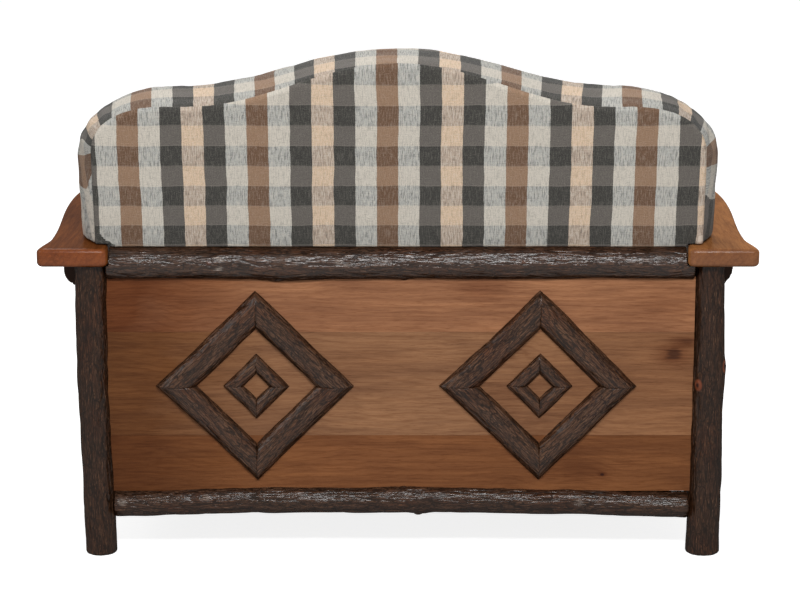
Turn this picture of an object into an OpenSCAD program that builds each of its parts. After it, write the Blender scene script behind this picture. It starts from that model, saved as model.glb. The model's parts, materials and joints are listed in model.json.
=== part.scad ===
// Log loveseat: four bark-on log posts tied by log rails, flat paddle arms, board panels
// with half-log diamonds, a hidden seat box, two loose seat cushions and a padded
// camel-shaped back in plaid that leans rearward over the rear rail.
// Millimetres. The origin is on the floor under the middle of the log frame, +Z is up,
// the sitter faces -Y and the sitter's left hand is on the +X side.

/* [Log frame] */
// Distance between the centres of the left and right posts
post_span = 1214; // [1160:2:1300]
// Distance between the centres of the front and rear posts
post_depth = 690; // [670:2:740]
// Diameter of a post
post_d = 62; // [58:1:68]
// Height of the top of the arms above the floor
arm_top = 627; // [615:1:660]
// Diameter of the rear top rail and of the front seat rail
main_rail_d = 62; // [58:1:64]
// Diameter of the bottom rails at the middle
bottom_rail_d = 54; // [50:1:58]
// How much thinner a bottom rail is at each end
bottom_rail_taper = 4; // [0:1:6]
// Height of the middle of the bottom rails above the floor
bottom_rail_z = 108; // [95:1:125]
// Diameter of the side top rails, before the top is sawn flat
side_rail_d = 76; // [70:1:80]
// How far a side top rail sits outboard of the post centres
side_rail_out = 15; // [10:1:18]
// Height of the log that is left above the middle of a side top rail
side_rail_flat = 16; // [12:1:22]
// Height of the middle of the front seat rail above the floor
seat_rail_z = 300; // [290:1:310]
// Depth of the sawn flat behind the front seat rail
seat_rail_flat = 4; // [2:1:6]
// How far a rail end is scribed over the round of a post
scribe = 3; // [2:0.5:5]

/* [Joinery] */
// Diameter of the round tenons on the rail ends
tenon_d = 20; // [16:1:22]
// Length of the round tenons on the rail ends
tenon_l = 18; // [12:1:20]
// Drop of the rear top rail tenon below the top of the post
rear_tenon_drop = 15; // [13:1:17]
// Diameter of the tenon on top of a post
post_tenon_d = 30; // [24:1:36]
// Length of the tenon on top of a post
post_tenon_l = 18; // [12:1:24]
// Gap all round between a tenon or dowel and its hole
fit = 0.1; // [0.05:0.05:0.2]
// Depth of the panel groove in a post
post_groove = 8; // [6:1:9]
// Depth of the panel groove in a rail
rail_groove = 5; // [4:1:6]
// Gap on each side of a panel in its groove
panel_gap = 0.2; // [0.1:0.05:0.3]
// Diameter of the dowels between side top rail and arm
dowel_d = 10; // [8:1:12]
// Length of the dowels between side top rail and arm
dowel_l = 36; // [28:2:40]

/* [Arms] */
// Thickness of an arm board
arm_t = 36; // [32:1:40]
// How far the middle of an arm sits outboard of the post centres
arm_out = 24; // [20:1:28]
// Width of an arm at its rear end
arm_rear_w = 133; // [124:1:140]
// Width of an arm at its waist
arm_waist_w = 117; // [112:1:124]
// Width of an arm at the paddle in front
arm_front_w = 141; // [130:1:148]
// How much further outboard the middle of the paddle sits than the rest of the arm
arm_skew = 8.5; // [6:0.5:12]
// How far an arm reaches behind the rear post centre
arm_rear_reach = 50; // [40:1:60]
// How far an arm reaches in front of the front post centre
arm_front_reach = 70; // [60:1:90]
// Radius of the worn edges of an arm
arm_edge = 8; // [5:1:11]

/* [Panels and diamonds] */
// Thickness of the panel boards
panel_t = 14; // [12:1:16]
// Height of the lower glue line of the rear panel
lower_seam_z = 243; // [230:1:255]
// Height of the middle board of the rear panel
middle_board_h = 210; // [195:1:225]
// Distance of each rear diamond from the middle of the loveseat
diamond_x = 280; // [260:2:300]
// Height of the middle of the rear diamonds above the floor
diamond_z = 344; // [342:1:350]
// Half the diagonal of a large diamond over its outer tips
diamond_half = 193; // [180:1:195]
// Width of the half logs of a large diamond
diamond_log_w = 54; // [46:1:56]
// Height of the half logs of a large diamond
diamond_log_h = 22; // [16:1:24]
// Half the diagonal of a small diamond over its outer tips
small_half = 66; // [58:1:72]
// Width of the half logs of a small diamond
small_log_w = 29; // [22:1:31]
// Height of the half logs of a small diamond
small_log_h = 13; // [10:1:14]
// Gap of a mitre joint between two half logs
mitre_gap = 0.2; // [0.1:0.1:0.4]

/* [Seat box] */
// Thickness of the boards of the seat box
seat_board_t = 25; // [22:1:28]
// Height of the boards of the seat box
seat_board_h = 73; // [60:1:80]
// Height of the top of the front and rear seat boards above the front seat rail's middle
seat_box_rise = 18; // [17:1:22]
// Thickness of the webbing straps
strap_t = 2; // [1.5:0.5:3]
// Width of the webbing straps
strap_w = 50; // [40:1:60]
// Thickness of the pad over the webbing
deck_t = 12; // [12:1:16]
// Length of the legs of the glued corner blocks
corner_block = 30; // [20:1:31]
// Diameter of a wood screw of the seat box
screw_d = 4; // [3:0.5:5]
// Length of a wood screw of the seat box
screw_l = 33; // [28:1:34]

/* [Seat cushions] */
// Gap at each side of a seat cushion
cushion_gap = 2; // [1:0.5:6]
// Height of a seat cushion at its edge
cushion_h = 128; // [100:1:150]
// Extra height of a seat cushion at its middle
cushion_crown = 20; // [8:1:32]
// How far a seat cushion stands out in front of the front posts' centre line
cushion_front = 55; // [45:1:62]

/* [Padded back] */
// Lean of the back from upright, in degrees
back_lean = 11; // [8:0.5:13]
// How far the flat outside back reaches over the inner edge of each arm
wing_over = 20.5; // [16:0.5:26]
// How much wider each side of the back is in front than behind
back_flare = 47; // [30:1:55]
// Height of the shoulders above the rear rail, along the lean
shoulder_h = 286; // [270:1:300]
// Rise of the camel hump above the shoulders
hump_h = 87; // [50:1:110]
// How much higher the shoulders are in front than behind
shoulder_flare = 11; // [4:1:18]
// How much higher the hump is in front than behind
hump_flare = 0; // [0:1:12]
// Depth of the cloth band between outside and inside back
band_depth = 112; // [100:1:124]
// Thickness of the cloth band and of the outside back cover
cloth_t = 3; // [2:0.5:4]
// Extra depth of the padding at the middle of the back
back_crown = 28; // [12:1:32]
// Depth of the wooden frame of the back
back_frame_depth = 83; // [76:1:88]
// Gap between the lower part of the back and the inner edge of each arm
back_side_gap = 2.5; // [1.5:0.5:6]

/* [Hidden] */
$fn = 48;
post_r = post_d / 2;
post_x = post_span / 2;
post_y = post_depth / 2;
arm_under = arm_top - arm_t;
main_r = main_rail_d / 2;
rail_end_x = post_x - post_r + scribe;
rail_end_y = post_y - post_r + scribe;
low_r = bottom_rail_d / 2;
low_end_r = low_r - bottom_rail_taper / 2;
side_r = side_rail_d / 2;
side_x = post_x + side_rail_out;
side_z = arm_under - side_rail_flat;
tenon_r = tenon_d / 2;
rear_tenon_z = arm_under - rear_tenon_drop;
side_tenon_z = side_z - 15;
arm_x = post_x + arm_out;
arm_rear_y = post_y + arm_rear_reach;
arm_front_y = -post_y - arm_front_reach;
// Inner edge of an arm where it comes nearest to the middle
arm_in_x = min(arm_x - arm_rear_w / 2, arm_x + arm_skew - arm_front_w / 2);
arm_waist_y = post_y - 75;
arm_wide_y = -post_y + 155;
groove_w = panel_t + 2 * panel_gap;
// Underside of the side top rail over the middle of the side panel
side_rail_low = side_z - sqrt(side_r * side_r - side_rail_out * side_rail_out);
rear_groove_z = min(arm_under - main_r + rail_groove, rear_tenon_z - tenon_r - 0.5);
side_groove_z = min(side_rail_low + rail_groove, side_tenon_z - tenon_r - 0.5);
low_groove_z = bottom_rail_z + low_end_r - rail_groove;
front_groove_z = seat_rail_z - main_r + rail_groove;
upper_seam_z = lower_seam_z + middle_board_h;
side_diamond_z = (bottom_rail_z + low_r + side_rail_low) / 2 - 1;
seat_in_x = post_x - panel_t / 2;
seat_box_x = seat_in_x - seat_board_t;
seat_front_y = -post_y + main_r - seat_rail_flat;
seat_top = seat_rail_z + seat_box_rise;
seat_low = seat_top - seat_board_h;
deck_z = seat_top + 2 * strap_t;
cushion_z = deck_z + deck_t + 0.3;
lean_s = sin(back_lean);
lean_c = cos(back_lean);
back_y0 = post_y;
back_z0 = arm_under + main_r;
pad_f = back_frame_depth + strap_t;
// Front face of the legs of the back frame at the top of the seat box
leg_v = (seat_top - back_z0 - back_frame_depth * lean_s) / lean_c;
leg_y = back_y0 + leg_v * lean_s - back_frame_depth * lean_c;
seat_rear_y = leg_y + 4;
deck_rear_y = leg_y - 3;
pad_low_v = (deck_z + deck_t + 0.4 - back_z0 - pad_f * lean_s) / lean_c;
leg_low_v = (seat_low + 5 - back_z0) / lean_c;
back_mid_v = 60;
back_half = arm_in_x + wing_over;
back_low_half = arm_in_x - back_side_gap;
// Front of the padding where the seat cushions meet it
pad_front_y = back_y0 + (pad_low_v + 30) * lean_s
  - (band_depth + 18 + back_crown * 0.4) * lean_c;
upright_x = back_low_half - 38;
upright_t = 36;
leg_f = main_r - 4;
crest_low_v = shoulder_h - 70;
base_rail_v = 62;
cushion_w = arm_in_x - 2 * cushion_gap;
cushion_l = pad_front_y - cushion_gap - 1 + post_y + cushion_front;
cushion_x = arm_in_x / 2;
cushion_y = -post_y - cushion_front + cushion_l / 2;
bolt_r = 4;
bolt_z = seat_top - 38;
// Distance of each arm dowel from the middle of its side rail
dowel_y = post_y - 225;
// Height of the low rail of the back frame and its rise above the lowest padding
low_rail_h = 60;
low_rail_rise = 60;
// Length of the holes for the bolts of the back, and of their wider part for the nuts
bolt_hole_l = 120;
nut_hole_l = 60;

// Small helpers

// Turns a plan point by whole quarter turns
function quarter(p, q) =
  q == 0 ? p : q == 1 ? [-p.y, p.x] : q == 2 ? [-p.x, -p.y] : [p.y, -p.x];

function blend(a, b, t) = a + (b - a) * t;

// Eases from 0 to 1
function ease(t) = (1 - cos(180 * t)) / 2;

// Moves every point of a closed outline inwards by d along its own normal
function inset(p, d) = let (n = len(p)) [
  for (i = [0:n - 1])
    let (t = p[(i + 1) % n] - p[(i + n - 1) % n], l = norm(t))
      p[i] - d * [t.y, -t.x] / l
];

function lift(p, z) = [for (q = p) [q.x, q.y, z]];

function centre_scale(p, s, c) = [for (q = p) c + s * (q - c)];

// Triangles between m rings of n points each, outward for rings wound anticlockwise
function skin(n, m) = [
  for (j = [0:m - 2], i = [0:n - 1])
    let (a = j * n + i, b = j * n + (i + 1) % n, c = b + n, d = a + n)
      each [[a, c, b], [a, d, c]]
];

// A body of rings closed by a fan round a middle point at each end
module ringed(rings, low, high) {
  n = len(rings[0]);
  m = len(rings);
  pts = concat([for (r = rings) each r], [low, high]);
  fan_low = [for (i = [0:n - 1]) [i, (i + 1) % n, n * m]];
  fan_high = [for (i = [0:n - 1])
    [(m - 1) * n + (i + 1) % n, (m - 1) * n + i, n * m + 1]];
  polyhedron(pts, concat(skin(n, m), fan_low, fan_high), convexity = 8);
}

// Rectangle with rounded corners whose sides are drawn in towards the middle
function drawn_rect(hx, hy, r, draw, ns = 6, na = 4) = [
  for (q = [0:3])
    let (a = q % 2 == 0 ? hx : hy, b = q % 2 == 0 ? hy : hx)
      each concat(
        [for (i = [0:ns])
          let (s = -1 + 2 * i / ns) quarter([a - draw * (1 - s * s), s * (b - r)], q)],
        [for (k = [1:na - 1])
          let (t = 90 * k / na) quarter([a - r + r * cos(t), b - r + r * sin(t)], q)])
];

module along_x(l, r, c = false) { rotate([0, 90, 0]) cylinder(h = l, r = r, center = c); }

module along_y(l, r, c = false) { rotate([-90, 0, 0]) cylinder(h = l, r = r, center = c); }

module mirror_left_right() { mirror([1, 0, 0]) children(); }

// Log posts

// One post standing at the origin, with its rails towards -X and -Y
module post_blank(x_tenon_z, x_panel_top) {
  difference() {
    union() {
      cylinder(h = 6, r1 = post_r - 4, r2 = post_r);
      translate([0, 0, 6]) cylinder(h = arm_under - 6, r = post_r);
      cylinder(h = arm_under + post_tenon_l, d = post_tenon_d);
    }
    for (z = [bottom_rail_z, x_tenon_z])
      translate([-post_r - 1, 0, z]) along_x(tenon_l + 1 + 2 * fit, tenon_r + fit);
    for (z = [bottom_rail_z, side_tenon_z])
      translate([0, -post_r - 1, z]) along_y(tenon_l + 1 + 2 * fit, tenon_r + fit);
    translate([-post_r - 1, -groove_w / 2, low_groove_z])
      cube([post_groove + 1, groove_w, x_panel_top - low_groove_z]);
    translate([-groove_w / 2, -post_r - 1, low_groove_z])
      cube([groove_w, post_groove + 1, side_groove_z - low_groove_z]);
  }
}

module rear_post() { post_blank(rear_tenon_z, rear_groove_z); }

module front_post() { mirror([0, 1, 0]) post_blank(seat_rail_z, front_groove_z); }

module post_rear_left() {
  color("saddlebrown") translate([post_x, post_y, 0]) rear_post();
}

module post_rear_right() {
  color("saddlebrown") translate([-post_x, post_y, 0]) {
    mirror_left_right() rear_post();
    // Two sawn-off branch stubs
    translate([-post_r - 2, 4, 375]) along_x(8, 11);
    translate([8, post_r - 6, 335]) along_y(8, 10);
  }
}

module post_front_left() {
  color("saddlebrown") translate([post_x, -post_y, 0]) front_post();
}

module post_front_right() {
  color("saddlebrown") translate([-post_x, -post_y, 0]) mirror_left_right() front_post();
}

// Log rails

// Space taken by the four posts, used to cope the rail ends
module post_space() {
  for (x = [-post_x, post_x], y = [-post_y, post_y])
    translate([x, y, 0]) cylinder(h = arm_under, r = post_r);
}

module x_tenons(y, z) {
  for (s = [0, 1]) mirror([s, 0, 0])
    translate([post_x - post_r - 8, y, z]) along_x(tenon_l + 8, tenon_r);
}

module y_tenons(x, z) {
  for (s = [0, 1]) mirror([0, s, 0])
    translate([x, post_y - post_r - 8, z]) along_y(tenon_l + 8, tenon_r);
}

module rail_rear_top() {
  color("sienna") union() {
    difference() {
      translate([0, post_y, arm_under]) union() {
        along_x(2 * rail_end_x, main_r, true);
        // Flush knots on the rear face
        for (x = [377, 110, -250]) translate([x, main_r - 8, 2]) along_y(9, 10);
      }
      post_space();
      for (s = [0, 1]) mirror([s, 0, 0])
        translate([arm_x - arm_rear_w / 2 - 0.5, 0, arm_under]) cube([200, 600, 60]);
      translate([-post_x, post_y - groove_w / 2, arm_under - main_r - 5])
        cube([post_span, groove_w, rear_groove_z - arm_under + main_r + 5]);
    }
    x_tenons(post_y, rear_tenon_z);
  }
}

module bottom_log_x(y) {
  difference() {
    translate([0, y, bottom_rail_z]) for (s = [0, 1]) mirror([s, 0, 0])
      rotate([0, 90, 0]) cylinder(h = rail_end_x, r1 = low_r, r2 = low_end_r);
    post_space();
    translate([-post_x, y - groove_w / 2, low_groove_z]) cube([post_span, groove_w, 60]);
  }
  x_tenons(y, bottom_rail_z);
}

module rail_rear_bottom() { color("sienna") bottom_log_x(post_y); }

module rail_front_bottom() { color("sienna") bottom_log_x(-post_y); }

module rail_front_seat() {
  color("sienna") union() {
    difference() {
      translate([0, -post_y, seat_rail_z]) along_x(2 * rail_end_x, main_r, true);
      post_space();
      translate([-post_x, seat_front_y, 0]) cube([post_span, 60, 600]);
      translate([-post_x, -post_y - groove_w / 2, seat_rail_z - main_r - 5])
        cube([post_span, groove_w, rail_groove + 5]);
      front_screw_holes();
    }
    x_tenons(-post_y, seat_rail_z);
  }
}

module side_top_log() {
  difference() {
    union() {
      intersection() {
        difference() {
          translate([side_x, 0, side_z]) along_y(2 * rail_end_y, side_r, true);
          post_space();
        }
        translate([0, -post_y, 0]) cube([post_span, post_depth, arm_under]);
      }
      y_tenons(post_x, side_tenon_z);
    }
    translate([post_x - groove_w / 2, -post_y, side_z - side_r - 5])
      cube([groove_w, post_depth, side_groove_z - side_z + side_r + 5]);
    dowel_holes();
  }
}

module rail_side_top_left() { color("sienna") side_top_log(); }

module rail_side_top_right() { color("sienna") mirror_left_right() side_top_log(); }

module side_bottom_log() {
  difference() {
    translate([post_x, 0, bottom_rail_z]) for (s = [0, 1]) mirror([0, s, 0])
      rotate([-90, 0, 0]) cylinder(h = rail_end_y, r1 = low_r, r2 = low_end_r);
    post_space();
    translate([post_x - groove_w / 2, -post_y, low_groove_z])
      cube([groove_w, post_depth, 60]);
  }
  y_tenons(post_x, bottom_rail_z);
}

module rail_side_bottom_left() { color("sienna") side_bottom_log(); }

module rail_side_bottom_right() { color("sienna") mirror_left_right() side_bottom_log(); }

// Arms

// Half the width of an arm at distance y from the middle of the frame
function arm_half(y) =
  y > arm_waist_y
    ? blend(arm_waist_w, arm_rear_w, ease((y - arm_waist_y) / (arm_rear_y - arm_waist_y))) / 2
    : y > arm_wide_y
      ? blend(arm_front_w, arm_waist_w, ease((y - arm_wide_y) / (arm_waist_y - arm_wide_y))) / 2
      : arm_front_w / 2;

// Sideways shift of the middle of an arm at distance y from the middle of the frame
function arm_mid(y) =
  y > arm_wide_y
    ? arm_skew * (1 - ease(min(1, (y - arm_wide_y) / (arm_waist_y - arm_wide_y))))
    : arm_skew;

arm_sides = [for (i = [0:14]) blend(arm_wide_y, arm_rear_y - 12, i / 14)];
arm_end = 2.5;
arm_front_turn = [for (i = [1:11]) 180 + 180 * i / 12];

// Outline of an arm, anticlockwise from the wide point on the outer side
function arm_outline() = concat(
  [for (y = arm_sides) [arm_mid(y) + arm_half(y), y]],
  [for (k = [1:4]) let (t = 90 * k / 5)
    [arm_rear_w / 2 - 12 + 12 * cos(t), arm_rear_y - 12 + 12 * sin(t)]],
  [for (k = [1:4]) let (t = 90 + 90 * k / 5)
    [-arm_rear_w / 2 + 12 + 12 * cos(t), arm_rear_y - 12 + 12 * sin(t)]],
  [for (i = [14:-1:0]) let (y = arm_sides[i]) [arm_mid(y) - arm_half(y), y]],
  [for (t = arm_front_turn)
    [arm_skew + sign(cos(t)) * pow(abs(cos(t)), 2 / arm_end) * arm_front_w / 2,
     arm_wide_y - pow(abs(sin(t)), 2 / arm_end) * (arm_wide_y - arm_front_y)]]
);

module arm_board() {
  p = arm_outline();
  rings = [
    lift(inset(p, arm_edge * 0.7), arm_under),
    lift(inset(p, arm_edge * 0.2), arm_under + arm_edge * 0.3),
    lift(p, arm_under + arm_edge),
    lift(p, arm_top - arm_edge),
    lift(inset(p, arm_edge * 0.14), arm_top - arm_edge * 0.5),
    lift(inset(p, arm_edge * 0.5), arm_top - arm_edge * 0.14),
    lift(inset(p, arm_edge), arm_top)
  ];
  difference() {
    translate([arm_x, 0, 0]) ringed(rings, [0, 0, arm_under], [0, 0, arm_top]);
    for (y = [-post_y, post_y]) translate([post_x, y, arm_under - 1])
      cylinder(h = post_tenon_l + 1 + 2 * fit, d = post_tenon_d + 2 * fit);
    dowel_holes();
  }
}

module arm_left() { color("peru") arm_board(); }

module arm_right() { color("peru") mirror_left_right() arm_board(); }

module dowel_holes() {
  for (y = [-dowel_y, dowel_y]) translate([side_x, y, arm_under - dowel_l / 2 - fit])
    cylinder(h = dowel_l + 2 * fit, d = dowel_d + 2 * fit);
}

module arm_dowels() {
  color("burlywood") for (s = [0, 1], y = [-dowel_y, dowel_y]) mirror([s, 0, 0])
    translate([side_x, y, arm_under - dowel_l / 2 - fit]) cylinder(h = dowel_l, d = dowel_d);
}

// Board panels

rear_panel_half = post_x - post_r + post_groove - panel_gap;

module rear_board(z0, z1) {
  translate([-rear_panel_half, post_y - panel_t / 2, z0])
    cube([2 * rear_panel_half, panel_t, z1 - z0]);
}

module rear_board_top() {
  color("chocolate") rear_board(upper_seam_z, rear_groove_z - panel_gap);
}

module rear_board_middle() { color("chocolate") rear_board(lower_seam_z, upper_seam_z); }

module rear_board_bottom() { color("chocolate") rear_board(low_groove_z, lower_seam_z); }

// Side panel glued up from boards, with a fine V along each glue line
module side_panel() {
  half = post_y - post_r + post_groove - panel_gap;
  difference() {
    translate([post_x - panel_t / 2, -half, low_groove_z])
      cube([panel_t, 2 * half, side_groove_z - panel_gap - low_groove_z]);
    for (z = [lower_seam_z, upper_seam_z]) translate([post_x + panel_t / 2, 0, z])
      rotate([0, 45, 0]) cube([1.4, 2 * post_y, 1.4], center = true);
    side_screw_holes();
  }
}

module side_panel_left() { color("chocolate") side_panel(); }

module side_panel_right() { color("chocolate") mirror_left_right() side_panel(); }

module front_panel() {
  color("chocolate") translate([-rear_panel_half, -post_y - panel_t / 2, low_groove_z])
    cube([2 * rear_panel_half, panel_t, front_groove_z - panel_gap - low_groove_z]);
}

// Half-log diamonds

// Four mitred half logs lying on the plane z = 0 round the origin
module diamond(half, w, h) {
  r = (w * w / 4 + h * h) / (2 * h);
  foot = (half / sqrt(2) - w / 2) / sqrt(2);
  for (q = [0:3]) rotate([0, 0, 90 * q])
    intersection() {
      translate([foot, foot, h - r]) rotate([0, 0, 45]) along_y(4 * half, r, true);
      translate([mitre_gap / 2, mitre_gap / 2, 0]) cube([2 * half, 2 * half, h + 1]);
    }
}

module large_diamond() { diamond(diamond_half, diamond_log_w, diamond_log_h); }

module small_diamond() { diamond(small_half, small_log_w, small_log_h); }

module on_rear(x) {
  translate([x, post_y + panel_t / 2, diamond_z]) rotate([90, 0, 180]) children();
}

module on_side(s) {
  translate([s * (post_x + panel_t / 2), 0, side_diamond_z])
    rotate([90, 0, 90 * s]) children();
}

module rear_left_large_diamond() { color("tan") on_rear(diamond_x) large_diamond(); }

module rear_left_small_diamond() { color("tan") on_rear(diamond_x) small_diamond(); }

module rear_right_large_diamond() { color("tan") on_rear(-diamond_x) large_diamond(); }

module rear_right_small_diamond() { color("tan") on_rear(-diamond_x) small_diamond(); }

module side_left_large_diamond() { color("tan") on_side(1) large_diamond(); }

module side_left_small_diamond() { color("tan") on_side(1) small_diamond(); }

module side_right_large_diamond() { color("tan") on_side(-1) large_diamond(); }

module side_right_small_diamond() { color("tan") on_side(-1) small_diamond(); }

// Seat box

screw_y = [-200, 0, 200];
screw_x = [-450, -150, 150, 450];
screw_z = seat_rail_z - 8;
screw_head_r = screw_d * 0.95;
screw_head_h = 3;

// One wood screw pointing along +X from its head at the origin
module screw() {
  along_x(screw_head_h, screw_head_r);
  along_x(screw_l, screw_d / 2);
}

module screw_hole() {
  translate([-1, 0, 0]) along_x(screw_head_h + 1, screw_head_r + fit);
  along_x(screw_l + 2 * fit, screw_d / 2 + fit);
}

module side_screws_at() {
  for (y = screw_y) translate([seat_box_x + 0.5, y, screw_z]) children();
}

module front_screws_at() {
  for (x = screw_x) translate([x, seat_front_y + seat_board_t - 0.5, screw_z])
    rotate([0, 0, -90]) children();
}

module side_screw_holes() { side_screws_at() screw_hole(); }

module front_screw_holes() { front_screws_at() screw_hole(); }

module seat_screws() {
  color("silver") {
    for (s = [0, 1]) mirror([s, 0, 0]) side_screws_at() screw();
    front_screws_at() screw();
  }
}

module seat_board_front() {
  color("wheat") difference() {
    translate([-seat_box_x, seat_front_y, seat_low])
      cube([2 * seat_box_x, seat_board_t, seat_board_h]);
    front_screw_holes();
  }
}

module rear_seat_space() {
  translate([-seat_box_x, seat_rear_y - seat_board_t, seat_low])
    cube([2 * seat_box_x, seat_board_t, seat_board_h]);
}

module seat_board_rear() {
  color("wheat") difference() {
    rear_seat_space();
    bolts_at() translate([0, -1, 0]) along_y(seat_board_t + 2, bolt_r + fit);
  }
}

module side_seat_board() {
  half = post_y - post_r - 1;
  difference() {
    translate([seat_box_x, -half, seat_low])
      cube([seat_board_t, 2 * half, seat_board_h + strap_t]);
    side_screw_holes();
  }
}

module seat_board_left() { color("wheat") side_seat_board(); }

module seat_board_right() { color("wheat") mirror_left_right() side_seat_board(); }

module corner_block_at(y, s) {
  translate([seat_box_x, y, seat_low + 5]) linear_extrude(seat_board_h - 15)
    polygon([[0, 0], [-corner_block, 0], [0, s * corner_block]]);
}

module seat_corner_blocks() {
  color("wheat") for (m = [0, 1]) mirror([m, 0, 0]) {
    corner_block_at(seat_front_y + seat_board_t, 1);
    corner_block_at(seat_rear_y - seat_board_t, -1);
  }
}

module seat_straps_long() {
  count = 8;
  step = 2 * seat_box_x / count;
  l = deck_rear_y - seat_front_y - 2;
  color("dimgray") for (i = [0:count - 1])
    translate([-seat_box_x + (i + 0.5) * step - strap_w / 2, seat_front_y + 2, seat_top])
      cube([strap_w, l, strap_t]);
}

module seat_straps_cross() {
  count = 4;
  room = deck_rear_y - seat_front_y - 2 * seat_board_t;
  step = room / count;
  color("dimgray") for (i = [0:count - 1])
    translate([-seat_in_x + 4, seat_front_y + seat_board_t + (i + 0.5) * step - strap_w / 2,
               seat_top + strap_t])
      cube([2 * seat_in_x - 8, strap_w, strap_t]);
}

module deck_pad() {
  y0 = seat_front_y + 1;
  hy = (deck_rear_y - y0) / 2;
  p = drawn_rect(seat_in_x - 3, hy, 20, 1, 6, 3);
  rings = [
    lift(inset(p, 3), 0),
    lift(p, deck_t * 0.3),
    lift(p, deck_t * 0.7),
    lift(inset(p, 4), deck_t)
  ];
  color("gray") translate([0, y0 + hy, deck_z])
    ringed(rings, [0, 0, 0], [0, 0, deck_t]);
}

// Loose seat cushions

module cushion() {
  h = cushion_h;
  p = drawn_rect(cushion_w / 2 - 2, cushion_l / 2 - 2, 26, 5);
  o = [0, 0];
  rings = [
    lift(centre_scale(p, 0.5, o), 0),
    lift(centre_scale(p, 0.86, o), 0),
    lift(inset(p, 16), 1),
    lift(inset(p, 6), 5),
    lift(inset(p, 1), 13),
    lift(inset(p, -0.5), h * 0.3),
    lift(inset(p, -2), h * 0.5),
    lift(inset(p, -0.5), h * 0.72),
    lift(inset(p, 1), h - 13),
    lift(inset(p, 6), h - 4),
    lift(inset(p, 16), h + 1),
    lift(centre_scale(p, 0.84, o), h + cushion_crown * 0.34),
    lift(centre_scale(p, 0.62, o), h + cushion_crown * 0.68),
    lift(centre_scale(p, 0.34, o), h + cushion_crown * 0.92)
  ];
  ringed(rings, [0, 0, 0], [0, 0, h + cushion_crown]);
}

module seat_cushion_left() {
  color("gray") translate([cushion_x, cushion_y, cushion_z]) cushion();
}

module seat_cushion_right() {
  color("gray") translate([-cushion_x, cushion_y, cushion_z]) cushion();
}

// Padded back, drawn in its own leaning frame: x across, y up the lean,
// z forward from the outside back

module leaning() {
  translate([0, back_y0, back_z0]) rotate([90 - back_lean, 0, 0]) children();
}

// Height up the lean of a level just over the arms, at depth f
function step_v(f) = (arm_top + 0.6 - back_z0 - f * lean_s) / lean_c;

// Half outline of the back above the arms from the arm to the middle of the hump,
// for k = 0 at the outside back and k = 1 at the front edge of the cloth band
function wing_half(k, f) = let (
    w = back_half + back_flare * k,
    sh = shoulder_h + shoulder_flare * k,
    hump = hump_h + (hump_flare - shoulder_flare) * k,
    hump_x = blend(0.684, 0.68, k) * w,
    cx = blend(0.752, 0.68, k) * w,
    cv = blend(0.664, 0.508, k) * sh,
    e = 2 / blend(2.3, 2, k))
  concat(
    [for (i = [0:4]) [w - 4 + i, blend(step_v(f), cv, i / 4)]],
    [for (i = [1:7]) let (t = 90 * i / 8)
      [cx + (w - cx) * pow(cos(t), e), cv + (sh - cv) * pow(sin(t), e)]],
    [for (i = [0:11]) let (x = cx * (1 - i / 12))
      [x, sh + hump * (x < hump_x ? (1 + cos(180 * x / hump_x)) / 2 : 0)]]
  );

wing_n = 24;

function mirrored(p) = [for (i = [len(p) - 1:-1:0]) [-p[i].x, p[i].y]];

// Closed outline of the part above the arms, anticlockwise from the right lower corner
function wing_outline(k, f, low) = let (h = wing_half(k, f))
  concat([[h[0].x, low]], h, [[0, h[23].y + (h[23].y - h[22].y) / 8]], mirrored(h),
         [[-h[0].x, low]]);

// Closed outline of the padding at depth f: wings over the arms, a narrower lower part
function pad_outline(k, f) = let (
    h = wing_half(k, f), l = back_low_half, s = step_v(f), b = pad_low_v)
  concat(
    [for (i = [0:4]) [(l - 14) * i / 5, b]],
    [[l - 14, b], [l - 4, b + 4], [l, b + 14]],
    [for (i = [1:4]) [l, blend(b + 14, s - 10, i / 4)]],
    [[l + 2, s - 2], [l + 12, s], [(l + h[0].x) / 2, s], [h[0].x - 10, s]],
    [for (i = [1:23]) h[i]],
    [[0, h[23].y + (h[23].y - h[22].y) / 8]],
    [for (i = [23:-1:1]) [-h[i].x, h[i].y]],
    [[10 - h[0].x, s], [-(l + h[0].x) / 2, s], [-l - 12, s], [-l - 2, s - 2]],
    [for (i = [4:-1:1]) [-l, blend(b + 14, s - 10, i / 4)]],
    [[-l, b + 14], [4 - l, b + 4], [14 - l, b]],
    [for (i = [4:-1:1]) [-(l - 14) * i / 5, b]]
  );

module back_padding() {
  d = band_depth;
  seam_gap = 0.4;
  lip = cloth_t + 0.6;
  c = [0, back_mid_v];
  k0 = pad_f / d;
  edge = pad_outline(1, d + 18);
  rings = [
    lift(inset(pad_outline(k0, pad_f), lip), pad_f),
    lift(inset(pad_outline(1, d), lip), d + seam_gap / 8),
    lift(inset(pad_outline(1, d), seam_gap), d + seam_gap),
    lift(inset(pad_outline(1, d + 9), 1.4), d + 9),
    lift(inset(edge, 8), d + 18),
    lift(centre_scale(edge, 0.9, c), d + 18 + (back_crown - 8) * 0.42),
    lift(centre_scale(edge, 0.7, c), d + 18 + (back_crown - 8) * 0.74),
    lift(centre_scale(edge, 0.42, c), d + 18 + (back_crown - 8) * 0.94)
  ];
  color("dimgray") leaning()
    ringed(rings, [0, back_mid_v, pad_f], [0, back_mid_v, d + back_crown + 10]);
}

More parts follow.
